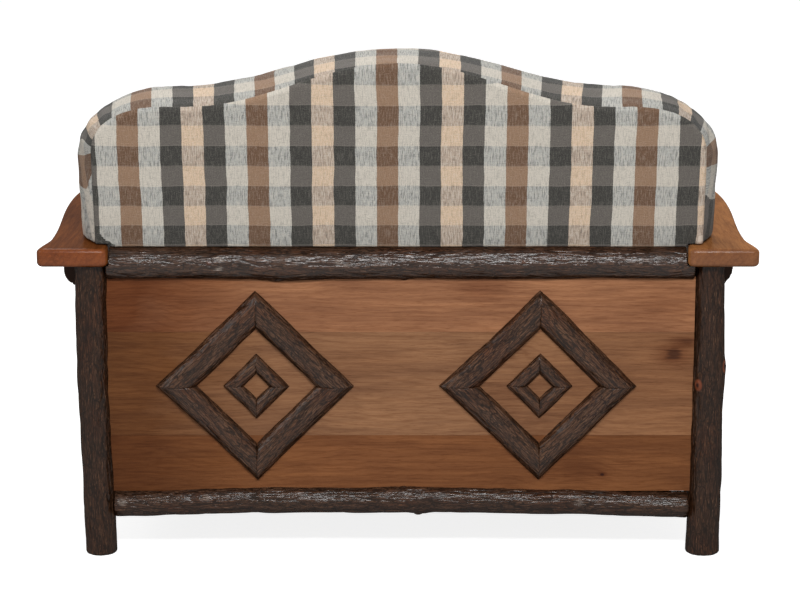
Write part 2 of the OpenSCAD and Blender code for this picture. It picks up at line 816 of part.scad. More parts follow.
// Sewn band from the outside back to the front edge, open at the bottom over the arms
module back_band() {
  d = band_depth;
  o0 = wing_outline(0, 0, step_v(0) - 20);
  o1 = wing_outline(0.52, d / 2, step_v(d / 2) - 20);
  o2 = wing_outline(1, d, step_v(d) - 20);
  t = cloth_t;
  rings = [
    lift(o0, 0), lift(inset(o1, -2), d / 2), lift(o2, d),
    lift(inset(o2, t), d), lift(inset(o1, t - 2), d / 2), lift(inset(o0, t), 0)
  ];
  first = 1;
  last = 2 * wing_n + 1;
  n = last - first + 1;
  pts = [for (r = rings) for (i = [first:last]) r[i]];
  tube = [for (j = [0:5], i = [0:n - 2])
    let (a = j * n + i, b = a + 1, jj = (j + 1) % 6, d2 = jj * n + i, c = d2 + 1)
      each [[a, c, b], [a, d2, c]]];
  cap0 = [for (q = [[0, 1, 5], [1, 4, 5], [1, 2, 4], [2, 3, 4]])
    [q[0] * n, q[2] * n, q[1] * n]];
  cap1 = [for (q = [[0, 1, 5], [1, 4, 5], [1, 2, 4], [2, 3, 4]])
    [q[0] * n + n - 1, q[1] * n + n - 1, q[2] * n + n - 1]];
  color("tan") leaning() polyhedron(pts, concat(tube, cap0, cap1), convexity = 8);
}

// Flat outline of the outside back, inside the band
module outside_shape(gap, low) {
  difference() {
    polygon(inset(wing_outline(0, 0, -60), gap));
    translate([-700, -100]) square([1400, 100 + low]);
    for (s = [0, 1]) mirror([s, 0]) translate([arm_x - arm_rear_w / 2 - 2, -100])
      square([200, 100 + step_v(0)]);
  }
}

module outside_back() {
  color("tan") leaning() linear_extrude(cloth_t) outside_shape(cloth_t + 0.3, 0.8);
}

module back_board() {
  color("wheat") leaning() translate([0, 0, cloth_t])
    linear_extrude(8 - cloth_t) outside_shape(cloth_t + 1.5, 1);
}

// Column of the outside back outline as deep as the wooden frame
module frame_column() {
  translate([0, 0, 8]) linear_extrude(back_frame_depth - 8)
    polygon(inset(wing_outline(0, 0, -60), cloth_t + 1.5));
}

module frame_box(x0, x1, v0, v1, f0, f1) {
  translate([x0, v0, f0]) cube([x1 - x0, v1 - v0, f1 - f0]);
}

// Space of the rear top rail, used to cope the back frame over it
module rear_rail_space() {
  translate([0, post_y, arm_under]) along_x(post_span, main_r, true);
}

module back_upright() {
  difference() {
    leaning() union() {
      intersection() {
        frame_column();
        frame_box(upright_x, upright_x + upright_t, -8, 500, 0, 200);
      }
      frame_box(upright_x, upright_x + upright_t, leg_low_v, 0, leg_f, back_frame_depth);
    }
    rear_rail_space();
    rear_seat_space();
    mirror_back_bolts() bolt_hole();
  }
}

module back_upright_left() { color("wheat") back_upright(); }

module back_upright_right() { color("wheat") mirror_left_right() back_upright(); }

module back_wing() {
  difference() {
    leaning() intersection() {
      frame_column();
      frame_box(upright_x + upright_t, 700, -60, 500, 0, 200);
    }
    translate([0, 0, arm_top - 200]) cube([1000, 1000, 200]);
  }
}

module back_wing_left() { color("wheat") back_wing(); }

module back_wing_right() { color("wheat") mirror_left_right() back_wing(); }

module back_crest() {
  color("wheat") leaning() intersection() {
    frame_column();
    frame_box(-upright_x, upright_x, crest_low_v, 600, 0, 200);
  }
}

module back_base_rail() {
  color("wheat") difference() {
    leaning() frame_box(-upright_x, upright_x, -8, base_rail_v, 8, back_frame_depth);
    rear_rail_space();
  }
}

module back_low_rail() {
  color("wheat") leaning()
    frame_box(-upright_x, upright_x, pad_low_v + low_rail_rise,
              pad_low_v + low_rail_rise + low_rail_h, 45, back_frame_depth);
}

module back_straps() {
  count = 7;
  step = 2 * upright_x / count;
  low = pad_low_v + low_rail_rise + 5;
  color("dimgray") leaning() for (i = [0:count - 1])
    translate([-upright_x + (i + 0.5) * step - strap_w / 2, low, back_frame_depth])
      cube([strap_w, crest_low_v + 50 - low, strap_t]);
}

// Bolts that hold the back frame to the seat box

bolt_x = upright_x + 11;
bolt_head_y = seat_rear_y - seat_board_t;
nut_y = seat_rear_y + 28;

module bolts_at() {
  for (x = [-bolt_x, bolt_x]) translate([x, bolt_head_y, bolt_z]) children();
}

module mirror_back_bolts() { translate([bolt_x, bolt_head_y, bolt_z]) children(); }

module bolt_hole() {
  along_y(bolt_hole_l, bolt_r + fit);
  translate([0, nut_y - bolt_head_y, 0]) along_y(nut_hole_l, 9);
}

module back_bolts() {
  color("silver") bolts_at() {
    translate([0, -4, 0]) along_y(4, 8);
    along_y(nut_y - bolt_head_y + 8, bolt_r);
  }
}

module back_nuts() {
  color("silver") bolts_at() translate([0, nut_y - bolt_head_y, 0]) difference() {
    rotate([-90, 0, 0]) cylinder(h = 6.5, r = 7.5, $fn = 6);
    translate([0, -1, 0]) along_y(9, bolt_r + fit / 2);
  }
}

post_rear_left();
post_rear_right();
post_front_left();
post_front_right();
rail_rear_top();
rail_rear_bottom();
rail_front_seat();
rail_front_bottom();
rail_side_top_left();
rail_side_top_right();
rail_side_bottom_left();
rail_side_bottom_right();
arm_left();
arm_right();
arm_dowels();
rear_board_top();
rear_board_middle();
rear_board_bottom();
side_panel_left();
side_panel_right();
front_panel();
rear_left_large_diamond();
rear_left_small_diamond();
rear_right_large_diamond();
rear_right_small_diamond();
side_left_large_diamond();
side_left_small_diamond();
side_right_large_diamond();
side_right_small_diamond();
seat_board_front();
seat_board_rear();
seat_board_left();
seat_board_right();
seat_corner_blocks();
seat_screws();
seat_straps_long();
seat_straps_cross();
deck_pad();
seat_cushion_left();
seat_cushion_right();
back_upright_left();
back_upright_right();
back_wing_left();
back_wing_right();
back_crest();
back_base_rail();
back_low_rail();
back_straps();
back_bolts();
back_nuts();
back_board();
back_padding();
back_band();
outside_back();
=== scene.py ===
"""The log loveseat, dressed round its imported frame.

Bark-on logs, half-log diamonds on glued board panels, paddle arms, a padded back in plaid and two
loose seat cushions. Metres. The origin is on the floor under the middle of the log frame, +Z is up,
the sitter faces -Y and the sitter's left hand is on the +X side.
"""

import json
import logging
import math
from dataclasses import dataclass
from enum import Enum
from typing import Callable, Dict, List, Optional, Sequence, Tuple

import bmesh
import bpy
import numpy as np
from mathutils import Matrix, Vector


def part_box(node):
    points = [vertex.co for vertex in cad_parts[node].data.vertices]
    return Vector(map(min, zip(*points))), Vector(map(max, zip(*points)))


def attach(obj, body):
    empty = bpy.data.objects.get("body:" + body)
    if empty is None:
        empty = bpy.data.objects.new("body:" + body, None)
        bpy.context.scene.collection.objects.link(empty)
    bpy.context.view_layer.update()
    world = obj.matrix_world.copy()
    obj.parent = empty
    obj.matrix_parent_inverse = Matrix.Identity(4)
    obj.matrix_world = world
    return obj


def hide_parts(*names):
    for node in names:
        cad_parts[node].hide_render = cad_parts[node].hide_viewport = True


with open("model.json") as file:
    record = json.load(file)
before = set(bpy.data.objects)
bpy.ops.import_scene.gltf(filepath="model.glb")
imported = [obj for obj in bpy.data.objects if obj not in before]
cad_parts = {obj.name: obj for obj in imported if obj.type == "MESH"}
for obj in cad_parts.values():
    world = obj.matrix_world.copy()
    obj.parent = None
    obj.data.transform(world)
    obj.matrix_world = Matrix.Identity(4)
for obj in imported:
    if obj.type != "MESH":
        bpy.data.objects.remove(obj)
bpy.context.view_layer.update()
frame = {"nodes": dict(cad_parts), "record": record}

MM = 0.001
log = logging.getLogger("loveseat")
VARNISH_IOR = 3.0
Colour = Tuple[float, float, float, float]
Table = Sequence[Tuple[float, float]]
PointRule = Callable[[np.ndarray], np.ndarray]
Socket = bpy.types.NodeSocket


class Body(Enum):
    """The bodies that a piece can ride on."""

    FRAME = "frame"
    CUSHION_LEFT = "cushion_left"
    CUSHION_RIGHT = "cushion_right"


class Axis(Enum):
    """The direction that a board's grain runs in."""

    X = 0
    Y = 1
    Z = 2


# Small helpers


def paint(red: int, green: int, blue: int) -> Colour:
    """Turns a colour written as 0 to 255 display values into a scene colour.

    Args:
        red: Red, 0 to 255.
        green: Green, 0 to 255.
        blue: Blue, 0 to 255.

    Returns:
        The colour in linear light, with an alpha of 1.
    """

    def linear(value: int) -> float:
        """Linear light of one display value."""
        c = value / 255
        return c / 12.92 if c <= 0.04045 else ((c + 0.055) / 1.055) ** 2.4

    return linear(red), linear(green), linear(blue), 1.0


def ease(t: np.ndarray) -> np.ndarray:
    """A soft step from 0 to 1."""
    t = np.clip(t, 0, 1)
    return t * t * (3 - 2 * t)


def stations(at: np.ndarray, table: Table) -> np.ndarray:
    """Follows a few stations with soft steps between them.

    Args:
        at: Where the value is wanted.
        table: Pairs of a place and the value there, in order.

    Returns:
        The value at each place.
    """
    places = np.array([p for p, _ in table], float)
    values = np.array([v for _, v in table], float)
    at = np.clip(at, places[0], places[-1])
    i = np.clip(np.searchsorted(places, at, side="right") - 1, 0, len(places) - 2)
    t = ease((at - places[i]) / (places[i + 1] - places[i]))
    return values[i] + (values[i + 1] - values[i]) * t


def value_noise(u: np.ndarray, v: np.ndarray, period: int, seed: int) -> np.ndarray:
    """Smooth noise from 0 to 1 on a lattice that closes round a log.

    Args:
        u: Place across, in cells; it repeats after period cells.
        v: Place along, in cells.
        period: Whole number of cells round the log.
        seed: Which lattice.

    Returns:
        The noise at each place.
    """
    low = int(math.floor(v.min()))
    high = int(math.ceil(v.max())) + 2
    lattice = np.random.default_rng(seed).random((period, high - low + 1))
    iu, iv = np.floor(u).astype(int), np.floor(v).astype(int)
    fu, fv = ease(u - iu), ease(v - iv)
    iv = iv - low
    a, b = lattice[iu % period, iv], lattice[(iu + 1) % period, iv]
    c, d = lattice[iu % period, iv + 1], lattice[(iu + 1) % period, iv + 1]
    return (a * (1 - fu) + b * fu) * (1 - fv) + (c * (1 - fu) + d * fu) * fv


def roll_off(t: np.ndarray, full: float = 0.999) -> np.ndarray:
    """Drop of a rounded edge, 0 where it starts and nearly 1 at the rim."""
    return 1 - np.sqrt(1 - t ** 2 * full)


def grid_faces(rows: int, cols: int, wrap: bool = False) -> np.ndarray:
    """Quads that join the neighbours of a grid of points.

    Args:
        rows: Rows of points.
        cols: Points in a row.
        wrap: Whether each row closes on itself.

    Returns:
        The quads, one per line, as four point numbers.
    """
    r = np.arange(rows - 1)[:, None] * cols
    c = np.arange(cols if wrap else cols - 1)[None, :]
    a, b = r + c, r + (c + 1) % cols
    return np.stack([a, b, b + cols, a + cols], -1).reshape(-1, 4)


def new_piece(
    name: str, points: np.ndarray, faces: Sequence, finishes: Sequence[bpy.types.Material]
) -> bpy.types.Object:
    """Makes a smooth-shaded mesh object at the origin of the frame.

    Args:
        name: The piece's name.
        points: The points, one per line, in metres.
        faces: Point numbers of each face.
        finishes: The materials of the piece.

    Returns:
        The new object, in the scene.
    """
    mesh = bpy.data.meshes.new(name)
    mesh.from_pydata(np.asarray(points, float).tolist(), [], [list(map(int, f)) for f in faces])
    mesh.update()
    mesh.shade_smooth()
    for finish in finishes:
        mesh.materials.append(finish)
    piece = bpy.data.objects.new(name, mesh)
    bpy.context.collection.objects.link(piece)
    return piece


def mark(piece: bpy.types.Object, name: str, values: np.ndarray, corners: bool = False) -> None:
    """Keeps numbers on a piece's points or corners for its finish to read.

    Args:
        piece: The piece.
        name: Name that the finish reads.
        values: One number or one vector per point or corner.
        corners: Whether the values belong to face corners.
    """
    values = np.asarray(values, np.float32)
    kind, key = ("FLOAT", "value") if values.ndim == 1 else ("FLOAT_VECTOR", "vector")
    place = "CORNER" if corners else "POINT"
    layer = piece.data.attributes.new(name, kind, place)
    layer.data.foreach_set(key, values.ravel())


def vectors(items: Sequence, what: str) -> np.ndarray:
    """Reads one vector of each point or face of a mesh."""
    values = np.empty(len(items) * 3, np.float32)
    items.foreach_get(what, values)
    return values.reshape(-1, 3).astype(float)


def points_of(piece: bpy.types.Object) -> np.ndarray:
    """Reads the points of a mesh piece."""
    return vectors(piece.data.vertices, "co")


def normals_of(piece: bpy.types.Object) -> np.ndarray:
    """Reads the point normals of a mesh piece."""
    return vectors(piece.data.vertices, "normal")


def move_points(piece: bpy.types.Object, points: np.ndarray) -> None:
    """Moves the points of a mesh piece."""
    piece.data.vertices.foreach_set("co", np.asarray(points, np.float32).ravel())
    piece.data.update()


def mount(piece: bpy.types.Object, body: Body, slot: str, *nodes: str) -> None:
    """Makes a piece ride on its body and stand for its nodes of the frame.

    Args:
        piece: The piece.
        body: The body that it rides on.
        slot: Not used.
        nodes: The nodes that it stands for.
    """
    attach(piece, body.value)
    if nodes:
        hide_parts(*nodes)
    log.info("%s: %d points", piece.name, len(piece.data.vertices))


# Finishes


class Shader:
    """A material's node tree, with short calls for the nodes that the finishes share."""

    def __init__(self, name: str) -> None:
        """Starts a material with one principled surface.

        Args:
            name: The material's name.
        """
        self.material = bpy.data.materials.new(name)
        self.material.use_nodes = True
        self.nodes = self.material.node_tree.nodes
        self.links = self.material.node_tree.links
        self.nodes.clear()
        self.surface = self.nodes.new("ShaderNodeBsdfPrincipled")
        output = self.nodes.new("ShaderNodeOutputMaterial")
        self.links.new(self.surface.outputs["BSDF"], output.inputs["Surface"])

    def join(self, value: object, socket: Socket) -> None:
        """Links an output, or sets a plain value, on an input."""
        if isinstance(value, bpy.types.NodeSocket):
            self.links.new(value, socket)
        else:
            socket.default_value = value

    def read(self, name: str, output: str = "Vector") -> Socket:
        """Reads numbers that are kept on the mesh."""
        node = self.nodes.new("ShaderNodeAttribute")
        node.attribute_name = name
        return node.outputs[output]

    def place(self) -> Socket:
        """Reads the place on the piece, in the frame's metres."""
        return self.nodes.new("ShaderNodeTexCoord").outputs["Object"]

    def split(self, vector: Socket) -> Tuple[Socket, Socket, Socket]:
        """Splits a vector into its three numbers."""
        node = self.nodes.new("ShaderNodeSeparateXYZ")
        self.links.new(vector, node.inputs[0])
        return node.outputs[0], node.outputs[1], node.outputs[2]

    def stretch(
        self, vector: Socket, scale: Sequence[float], shift: Sequence[float] = (0, 0, 0)
    ) -> Socket:
        """Scales and shifts a place.

        Args:
            vector: The place.
            scale: Factor along each axis.
            shift: Distance along each axis, added after the factor.

        Returns:
            The new place.
        """
        node = self.nodes.new("ShaderNodeMapping")
        self.links.new(vector, node.inputs["Vector"])
        node.inputs["Scale"].default_value = scale
        node.inputs["Location"].default_value = shift
        return node.outputs[0]

    def noise(
        self, vector: Socket, scale: object, detail: float = 3, rough: float = 0.55, bend: float = 0,
        shift: Sequence[float] = (0, 0, 0),
    ) -> Socket:
        """Cloudy noise from 0 to 1.

        Args:
            vector: The place.
            scale: Clouds per metre, as one number or one along each axis.
            detail: How many finer layers.
            rough: Strength of the finer layers.
            bend: How far the clouds swirl.
            shift: Where in the noise the piece lies, when scale is given along each axis.

        Returns:
            The noise.
        """
        if not isinstance(scale, (int, float)):
            vector, scale = self.stretch(vector, scale, shift), 1
        node = self.nodes.new("ShaderNodeTexNoise")
        self.links.new(vector, node.inputs["Vector"])
        node.inputs["Scale"].default_value = scale
        node.inputs["Detail"].default_value = detail
        node.inputs["Roughness"].default_value = rough
        node.inputs["Distortion"].default_value = bend
        return node.outputs["Fac"]

    def cracks(self, vector: Socket, scale: float, bend: Socket, reach: float) -> Socket:
        """Distance from the border of long cells, 0 on the border.

        Args:
            vector: The place.
            scale: Cells per metre of the place.
            bend: Noise that makes the cells sway.
            reach: How far they sway.

        Returns:
            The distance, as a share of a cell.
        """
        sway = self.nodes.new("ShaderNodeVectorMath")
        sway.operation = "MULTIPLY_ADD"
        self.links.new(bend, sway.inputs[0])
        sway.inputs[1].default_value = (reach, reach, reach)
        self.links.new(vector, sway.inputs[2])
        node = self.nodes.new("ShaderNodeTexVoronoi")
        node.feature = "DISTANCE_TO_EDGE"
        node.inputs["Scale"].default_value = scale
        self.links.new(sway.outputs[0], node.inputs["Vector"])
        return node.outputs["Distance"]

    def sum(self, how: str, a: object, b: object = 0.0, c: object = 0.0) -> Socket:
        """One arithmetic step.

        Args:
            how: Name of the operation.
            a: First number.
            b: Second number.
            c: Third number.

        Returns:
            The result.
        """
        node = self.nodes.new("ShaderNodeMath")
        node.operation = how
        for value, socket in zip((a, b, c), node.inputs):
            self.join(value, socket)
        return node.outputs[0]

    def span(
        self, value: Socket, low: float, high: float, to_low: float = 0, to_high: float = 1
    ) -> Socket:
        """Maps a range of values to another, with soft ends.

        Args:
            value: The number.
            low: Start of its range.
            high: End of its range.
            to_low: Result at the start.
            to_high: Result at the end.

        Returns:
            The mapped number.
        """
        node = self.nodes.new("ShaderNodeMapRange")
        node.interpolation_type = "SMOOTHSTEP"
        self.links.new(value, node.inputs["Value"])
        ends = {"From Min": low, "From Max": high, "To Min": to_low, "To Max": to_high}
        for name, number in ends.items():
            node.inputs[name].default_value = number
        return node.outputs["Result"]

    def ramp(self, fac: Socket, stops: Sequence[Tuple[float, Colour]], steps: bool = False) -> Socket:
        """Turns a number into a colour.

        Args:
            fac: Number from 0 to 1.
            stops: Pairs of a number and its colour.
            steps: Whether each colour holds until the next stop.

        Returns:
            The colour.
        """
        node = self.nodes.new("ShaderNodeValToRGB")
        node.color_ramp.interpolation = "CONSTANT" if steps else "LINEAR"
        elements = node.color_ramp.elements
        while len(elements) < len(stops):
            elements.new(0.5)
        for element, (at, colour) in zip(elements, stops):
            element.position = at
            element.color = colour
        self.links.new(fac, node.inputs["Fac"])
        return node.outputs["Color"]

    def mix(self, fac: object, a: object, b: object, how: str = "MIX") -> Socket:
        """Mixes two colours.

        Args:
            fac: Share of the second, 0 to 1.
            a: First colour.
            b: Second colour.
            how: Name of the blend.

        Returns:
            The mixed colour.
        """
        node = self.nodes.new("ShaderNodeMix")
        node.data_type = "RGBA"
        node.blend_type = how
        node.clamp_result = True
        for value, socket in ((fac, node.inputs[0]), (a, node.inputs[6]), (b, node.inputs[7])):
            self.join(value, socket)
        return node.outputs[2]

    def tint(self, share: object, colour: object, factor: Colour) -> Socket:
        """Multiplies a share of a colour by a factor."""
        return self.mix(share, colour, self.mix(1, colour, factor, "MULTIPLY"))

    def bump(
        self, height: Socket, depth: float, strength: float = 1, before: Optional[Socket] = None
    ) -> Socket:
        """Fine relief on the surface.

        Args:
            height: Number from 0 to 1.
            depth: Real depth of the relief in metres.
            strength: Share of the relief that shows.
            before: Coarser relief below it.

        Returns:
            The bent surface direction.
        """
        node = self.nodes.new("ShaderNodeBump")
        node.inputs["Strength"].default_value = strength
        node.inputs["Distance"].default_value = depth
        self.links.new(height, node.inputs["Height"])
        if before is not None:
            self.links.new(before, node.inputs["Normal"])
        return node.outputs["Normal"]

    def dress(self, **sockets: object) -> bpy.types.Material:
        """Sets the surface's sockets by name, with _ for a space.

        Args:
            sockets: Outputs or plain values.

        Returns:
            The finished material.
        """
        for name, value in sockets.items():
            self.join(value, self.surface.inputs[name.replace("_", " ")])
        return self.material


@dataclass(frozen=True)
class BarkFinish:
    """Varnished hickory bark: dark furrows, red-brown ridges, glints and ringed branch scars."""

    name: str = "bark"
    furrow: Colour = paint(24, 15, 9)
    ridge: Colour = paint(53, 34, 23)
    crest: Colour = paint(76, 51, 36)
    # Pale thread lines: partly the bark's lighter fibres, partly painted glints.
    line: Colour = paint(128, 94, 68)
    ring: Colour = paint(112, 58, 35)
    heart: Colour = paint(42, 22, 16)
    # Pale marks on the scars: partly wear, partly painted glints.
    scuff_and_glint: Colour = paint(170, 158, 148)
    warm: Colour = (1.1, 0.8, 0.6, 1)
    cool: Colour = (0.86, 0.9, 0.96, 1)
    plates: float = 125
    strips: float = 280
    varnish: float = 0.042
    gloss: float = 0.17
    coarse_relief: float = 0.5 * MM
    fine_relief: float = 0.22 * MM

    def make(self) -> bpy.types.Material:
        """Builds the material."""
        s = Shader(self.name)
        place = s.read("log_place")
        relief = s.read("relief", "Fac")
        patch = s.noise(place, (22, 22, 8), 3, 0.6, 0.6)
        bend = s.noise(place, (46, 46, 17), 3, 0.6)
        fibre = s.noise(place, (560, 560, 42), 3, 0.65, 0.5)
        grit = s.noise(place, (900, 900, 260), 2, 0.6)
        thread = s.noise(place, (640, 640, 60), 2, 0.6, 0.8, shift=(2, 5, 3))
        plates = s.cracks(s.stretch(place, (1, 1, 0.11)), self.plates, bend, 0.02)
        strips = s.cracks(s.stretch(place, (1, 1, 0.12), (0.3, 0.1, 0.7)), self.strips, bend, 0.012)
        # Darker in the furrows, lighter on the crests, following the relief: partly the bark's own
        # colour, partly painted shade.
        tone = s.sum("MULTIPLY_ADD", relief, 0.36, 0.3)
        tone = s.sum("MULTIPLY_ADD", s.sum("SUBTRACT", fibre, 0.5), 0.9, tone)
        colour = s.ramp(tone, [(0.2, self.furrow), (0.5, self.ridge), (0.86, self.crest)])
        # Pale thread lines: partly the bark's lighter fibres, partly painted glints.
        colour = s.mix(s.span(thread, 0.56, 0.68, 0, 0.42), colour, self.line)
        # Near-black cracks: partly the bark's own colour, partly painted shade in them.
        colour = s.mix(s.span(strips, 0.01, 0.15, 0.7, 0), colour, self.furrow)
        colour = s.mix(s.span(plates, 0.01, 0.1, 0.85, 0), colour, self.furrow)
        colour = s.tint(s.span(patch, 0.45, 0.72, 0, 0.7), colour, self.warm)
        colour = s.tint(s.span(patch, 0.28, 0.42, 0.3, 0), colour, self.cool)
        colour = s.mix(s.span(grit, 0.34, 0.6, 0.3, 0), colour, self.furrow)
        scar = s.read("scar", "Fac")
        colour = s.mix(s.span(scar, 0.04, 0.3, 0, 0.8), colour, self.ring)
        colour = s.mix(s.span(scar, 0.42, 0.62), colour, self.heart)
        # Pale marks from the scars: partly wear, partly painted glints on the rails.
        pale = s.sum("MULTIPLY", s.read("scuff_and_glint", "Fac"), s.span(fibre, 0.44, 0.6))
        colour = s.mix(pale, colour, self.scuff_and_glint)
        dome = s.sum("ADD", s.span(plates, 0.0, 0.3), s.sum("MULTIPLY", s.span(strips, 0, 0.3), 0.5))
        coarse = s.bump(dome, self.coarse_relief, 0.7)
        fine = s.bump(fibre, self.fine_relief, 0.5, coarse)
        return s.dress(
            Base_Color=colour, Roughness=0.7, Normal=fine, Specular_IOR_Level=0.0, Coat_Normal=fine,
            Coat_Weight=self.varnish, Coat_IOR=VARNISH_IOR, Coat_Roughness=self.gloss,
        )


@dataclass(frozen=True)
class EndGrainFinish:
    """The sawn end of a log: dark stained wood with rings."""

    name: str = "log_end"
    dark: Colour = paint(26, 15, 9)
    light: Colour = paint(60, 35, 20)

    def make(self) -> bpy.types.Material:
        """Builds the material."""
        s = Shader(self.name)
        place = s.read("log_place")
        x, y, _ = s.split(place)
        away = s.sum("SQRT", s.sum("ADD", s.sum("MULTIPLY", x, x), s.sum("MULTIPLY", y, y)))
        wander = s.sum("MULTIPLY", s.noise(place, 60, 3), 9)
        rings = s.sum("SINE", s.sum("MULTIPLY_ADD", away, 2600, wander))
        spots = s.noise(place, 900, 2)
        tone = s.sum("MULTIPLY_ADD", rings, 0.2, s.sum("MULTIPLY", spots, 0.8))
        colour = s.ramp(tone, [(0.2, self.dark), (0.8, self.light)])
        return s.dress(
            Base_Color=colour, Roughness=0.7, Normal=s.bump(tone, 0.4 * MM, 0.6), Specular_IOR_Level=0.0,
            Coat_Weight=0.02, Coat_IOR=VARNISH_IOR, Coat_Roughness=0.35,
        )


@dataclass(frozen=True)
class Knot:
    """A knot or a cloud in a board: its place across and up, its size, and how dark each part is."""

    x: float
    z: float
    size: float
    heart: float
    cloud: float
    wide: float = 2.6


@dataclass(frozen=True)
class WoodFinish:
    """A stained and varnished board, with grain along one axis.

    The colour may change from one end of the board to the other. The sawn rear end of an arm
    takes the stain otherwise, so its colour is multiplied by sawn behind sawn_at.
    """

    name: str
    grain: Axis
    middle: Colour
    left: Optional[Colour] = None
    right: Optional[Colour] = None
    seed: float = 0.0
    contrast: float = 0.5
    gloss: float = 0.4
    varnish: float = 0.02
    half_length: float = 0.58
    ring: float = 13 * MM
    sawn: Optional[Colour] = None
    sawn_at: float = 0.0
    knots: Tuple[Knot, ...] = ()
    shade: Colour = (0.62, 0.58, 0.58, 1)
    light: Colour = (1.36, 1.4, 1.32, 1)
    deep: Colour = (0.56, 0.46, 0.4, 1)
    cloud: Colour = (0.6, 0.5, 0.46, 1)
    heart: Colour = paint(44, 24, 18)

    def scale(self, along: float, across: float) -> Tuple[float, float, float]:
        """Factors that stretch a texture along the grain."""
        out = [across, across, across]
        out[self.grain.value] = along
        return tuple(out)

    def end_to_end(self, s: Shader, place: Socket, drift: Socket) -> object:
        """Colour along the board, before its grain; a darker left end is partly painted shade.

        Args:
            s: The material's nodes.
            place: Place on the board.
            drift: Noise that wavers the change of colour.

        Returns:
            The colour.
        """
        if self.left is None or self.right is None:
            return self.middle
        x, _, _ = s.split(place)
        share = s.sum("MULTIPLY_ADD", x, 0.5 / self.half_length, 0.5)
        share = s.sum("ADD", share, s.sum("MULTIPLY_ADD", drift, 0.3, -0.15))
        stops = [(0.05, self.right), (0.4, self.middle), (0.7, self.middle), (0.93, self.left)]
        return s.ramp(share, stops)

    def knot(self, s: Shader, place: Socket, streak: Socket, colour: Socket, knot: Knot) -> Socket:
        """Adds a knot and the darker cloud round it.

        Args:
            s: The material's nodes.
            place: Place on the board.
            streak: Noise along the grain.
            colour: The board's colour so far.
            knot: The knot.

        Returns:
            The colour with the knot.
        """
        wide = knot.wide * knot.size
        spot = s.stretch(place, (1 / wide, 0, 1 / knot.size), (-knot.x / wide, 0, -knot.z / knot.size))
        away = s.nodes.new("ShaderNodeVectorMath")
        away.operation = "LENGTH"
        s.links.new(spot, away.inputs[0])
        near = s.sum("MULTIPLY_ADD", s.sum("SUBTRACT", streak, 0.5), 1.4, away.outputs["Value"])
        colour = s.tint(s.span(near, 0.3, 2.2, knot.cloud, 0), colour, self.cloud)
        return s.mix(s.span(near, 0.3, 0.75, knot.heart, 0), colour, self.heart)

    def make(self) -> bpy.types.Material:
        """Builds the material."""
        s = Shader(self.name)
        place = s.place()
        shift = (self.seed, self.seed * 1.7, self.seed * 0.6)
        broad = s.noise(place, self.scale(2.4, 7), 3, 0.5, 0.9, shift)
        figure = s.noise(place, self.scale(4, 46), 4, 0.55, 1.2, shift)
        streak = s.noise(place, self.scale(9, 260), 4, 0.6, 0.4, shift)
        lines = s.noise(place, self.scale(22, 420), 3, 0.6, 0.2, shift)
        pores = s.noise(place, self.scale(48, 760), 2, 0.6, 0, shift)
        base = self.end_to_end(s, place, broad)
        tone = s.sum("MULTIPLY_ADD", broad, 0.42, s.sum("MULTIPLY", figure, 0.34))
        tone = s.sum("MULTIPLY_ADD", streak, 0.24, tone)
        tone = s.span(tone, 0.32, 0.68, 0.5 - self.contrast / 2, 0.5 + self.contrast / 2)
        shade = s.mix(1, base, self.shade, "MULTIPLY")
        light = s.mix(1, base, self.light, "MULTIPLY")
        colour = s.mix(tone, shade, light)
        for knot in self.knots:
            colour = self.knot(s, place, streak, colour, knot)
        if self.sawn is not None:
            _, y, _ = s.split(place)
            rear = s.span(y, self.sawn_at - 9 * MM, self.sawn_at - 3 * MM)
            colour = s.tint(rear, colour, self.sawn)
        deep = s.mix(1, colour, self.deep, "MULTIPLY")
        colour = s.mix(s.span(pores, 0.3, 0.46, 0.5, 0), colour, deep)
        colour = s.mix(s.span(lines, 0.34, 0.48, 0.42, 0), colour, deep)
        colour = s.mix(self.rings(s, place, broad, streak), colour, deep)
        relief = s.bump(streak, 0.2 * MM, 0.5)
        relief = s.bump(pores, 0.18 * MM, 0.5, relief)
        return s.dress(
            Base_Color=colour, Roughness=0.6, Normal=relief, Specular_IOR_Level=0.0, Coat_Normal=relief,
            Coat_Weight=self.varnish, Coat_IOR=VARNISH_IOR, Coat_Roughness=self.gloss,
        )

    def rings(self, s: Shader, place: Socket, broad: Socket, streak: Socket) -> Socket:
        """The long lines that the yearly rings draw on a flat-sawn board.

        Args:
            s: The material's nodes.
            place: Place on the board.
            broad: Noise that bends the lines.
            streak: Noise that breaks them up.

        Returns:
            How dark the lines are, from 0.
        """
        across = [part for part, axis in zip(s.split(place), Axis) if axis is not self.grain]
        wave = s.sum("MULTIPLY", broad, 44)
        wave = s.sum("MULTIPLY_ADD", s.sum("ADD", *across), 2 * math.pi / self.ring, wave)
        line = s.span(s.sum("SINE", wave), 0.2, 1, 0, 0.32)
        return s.sum("MULTIPLY", line, s.span(streak, 0.35, 0.65, 0.5, 1))


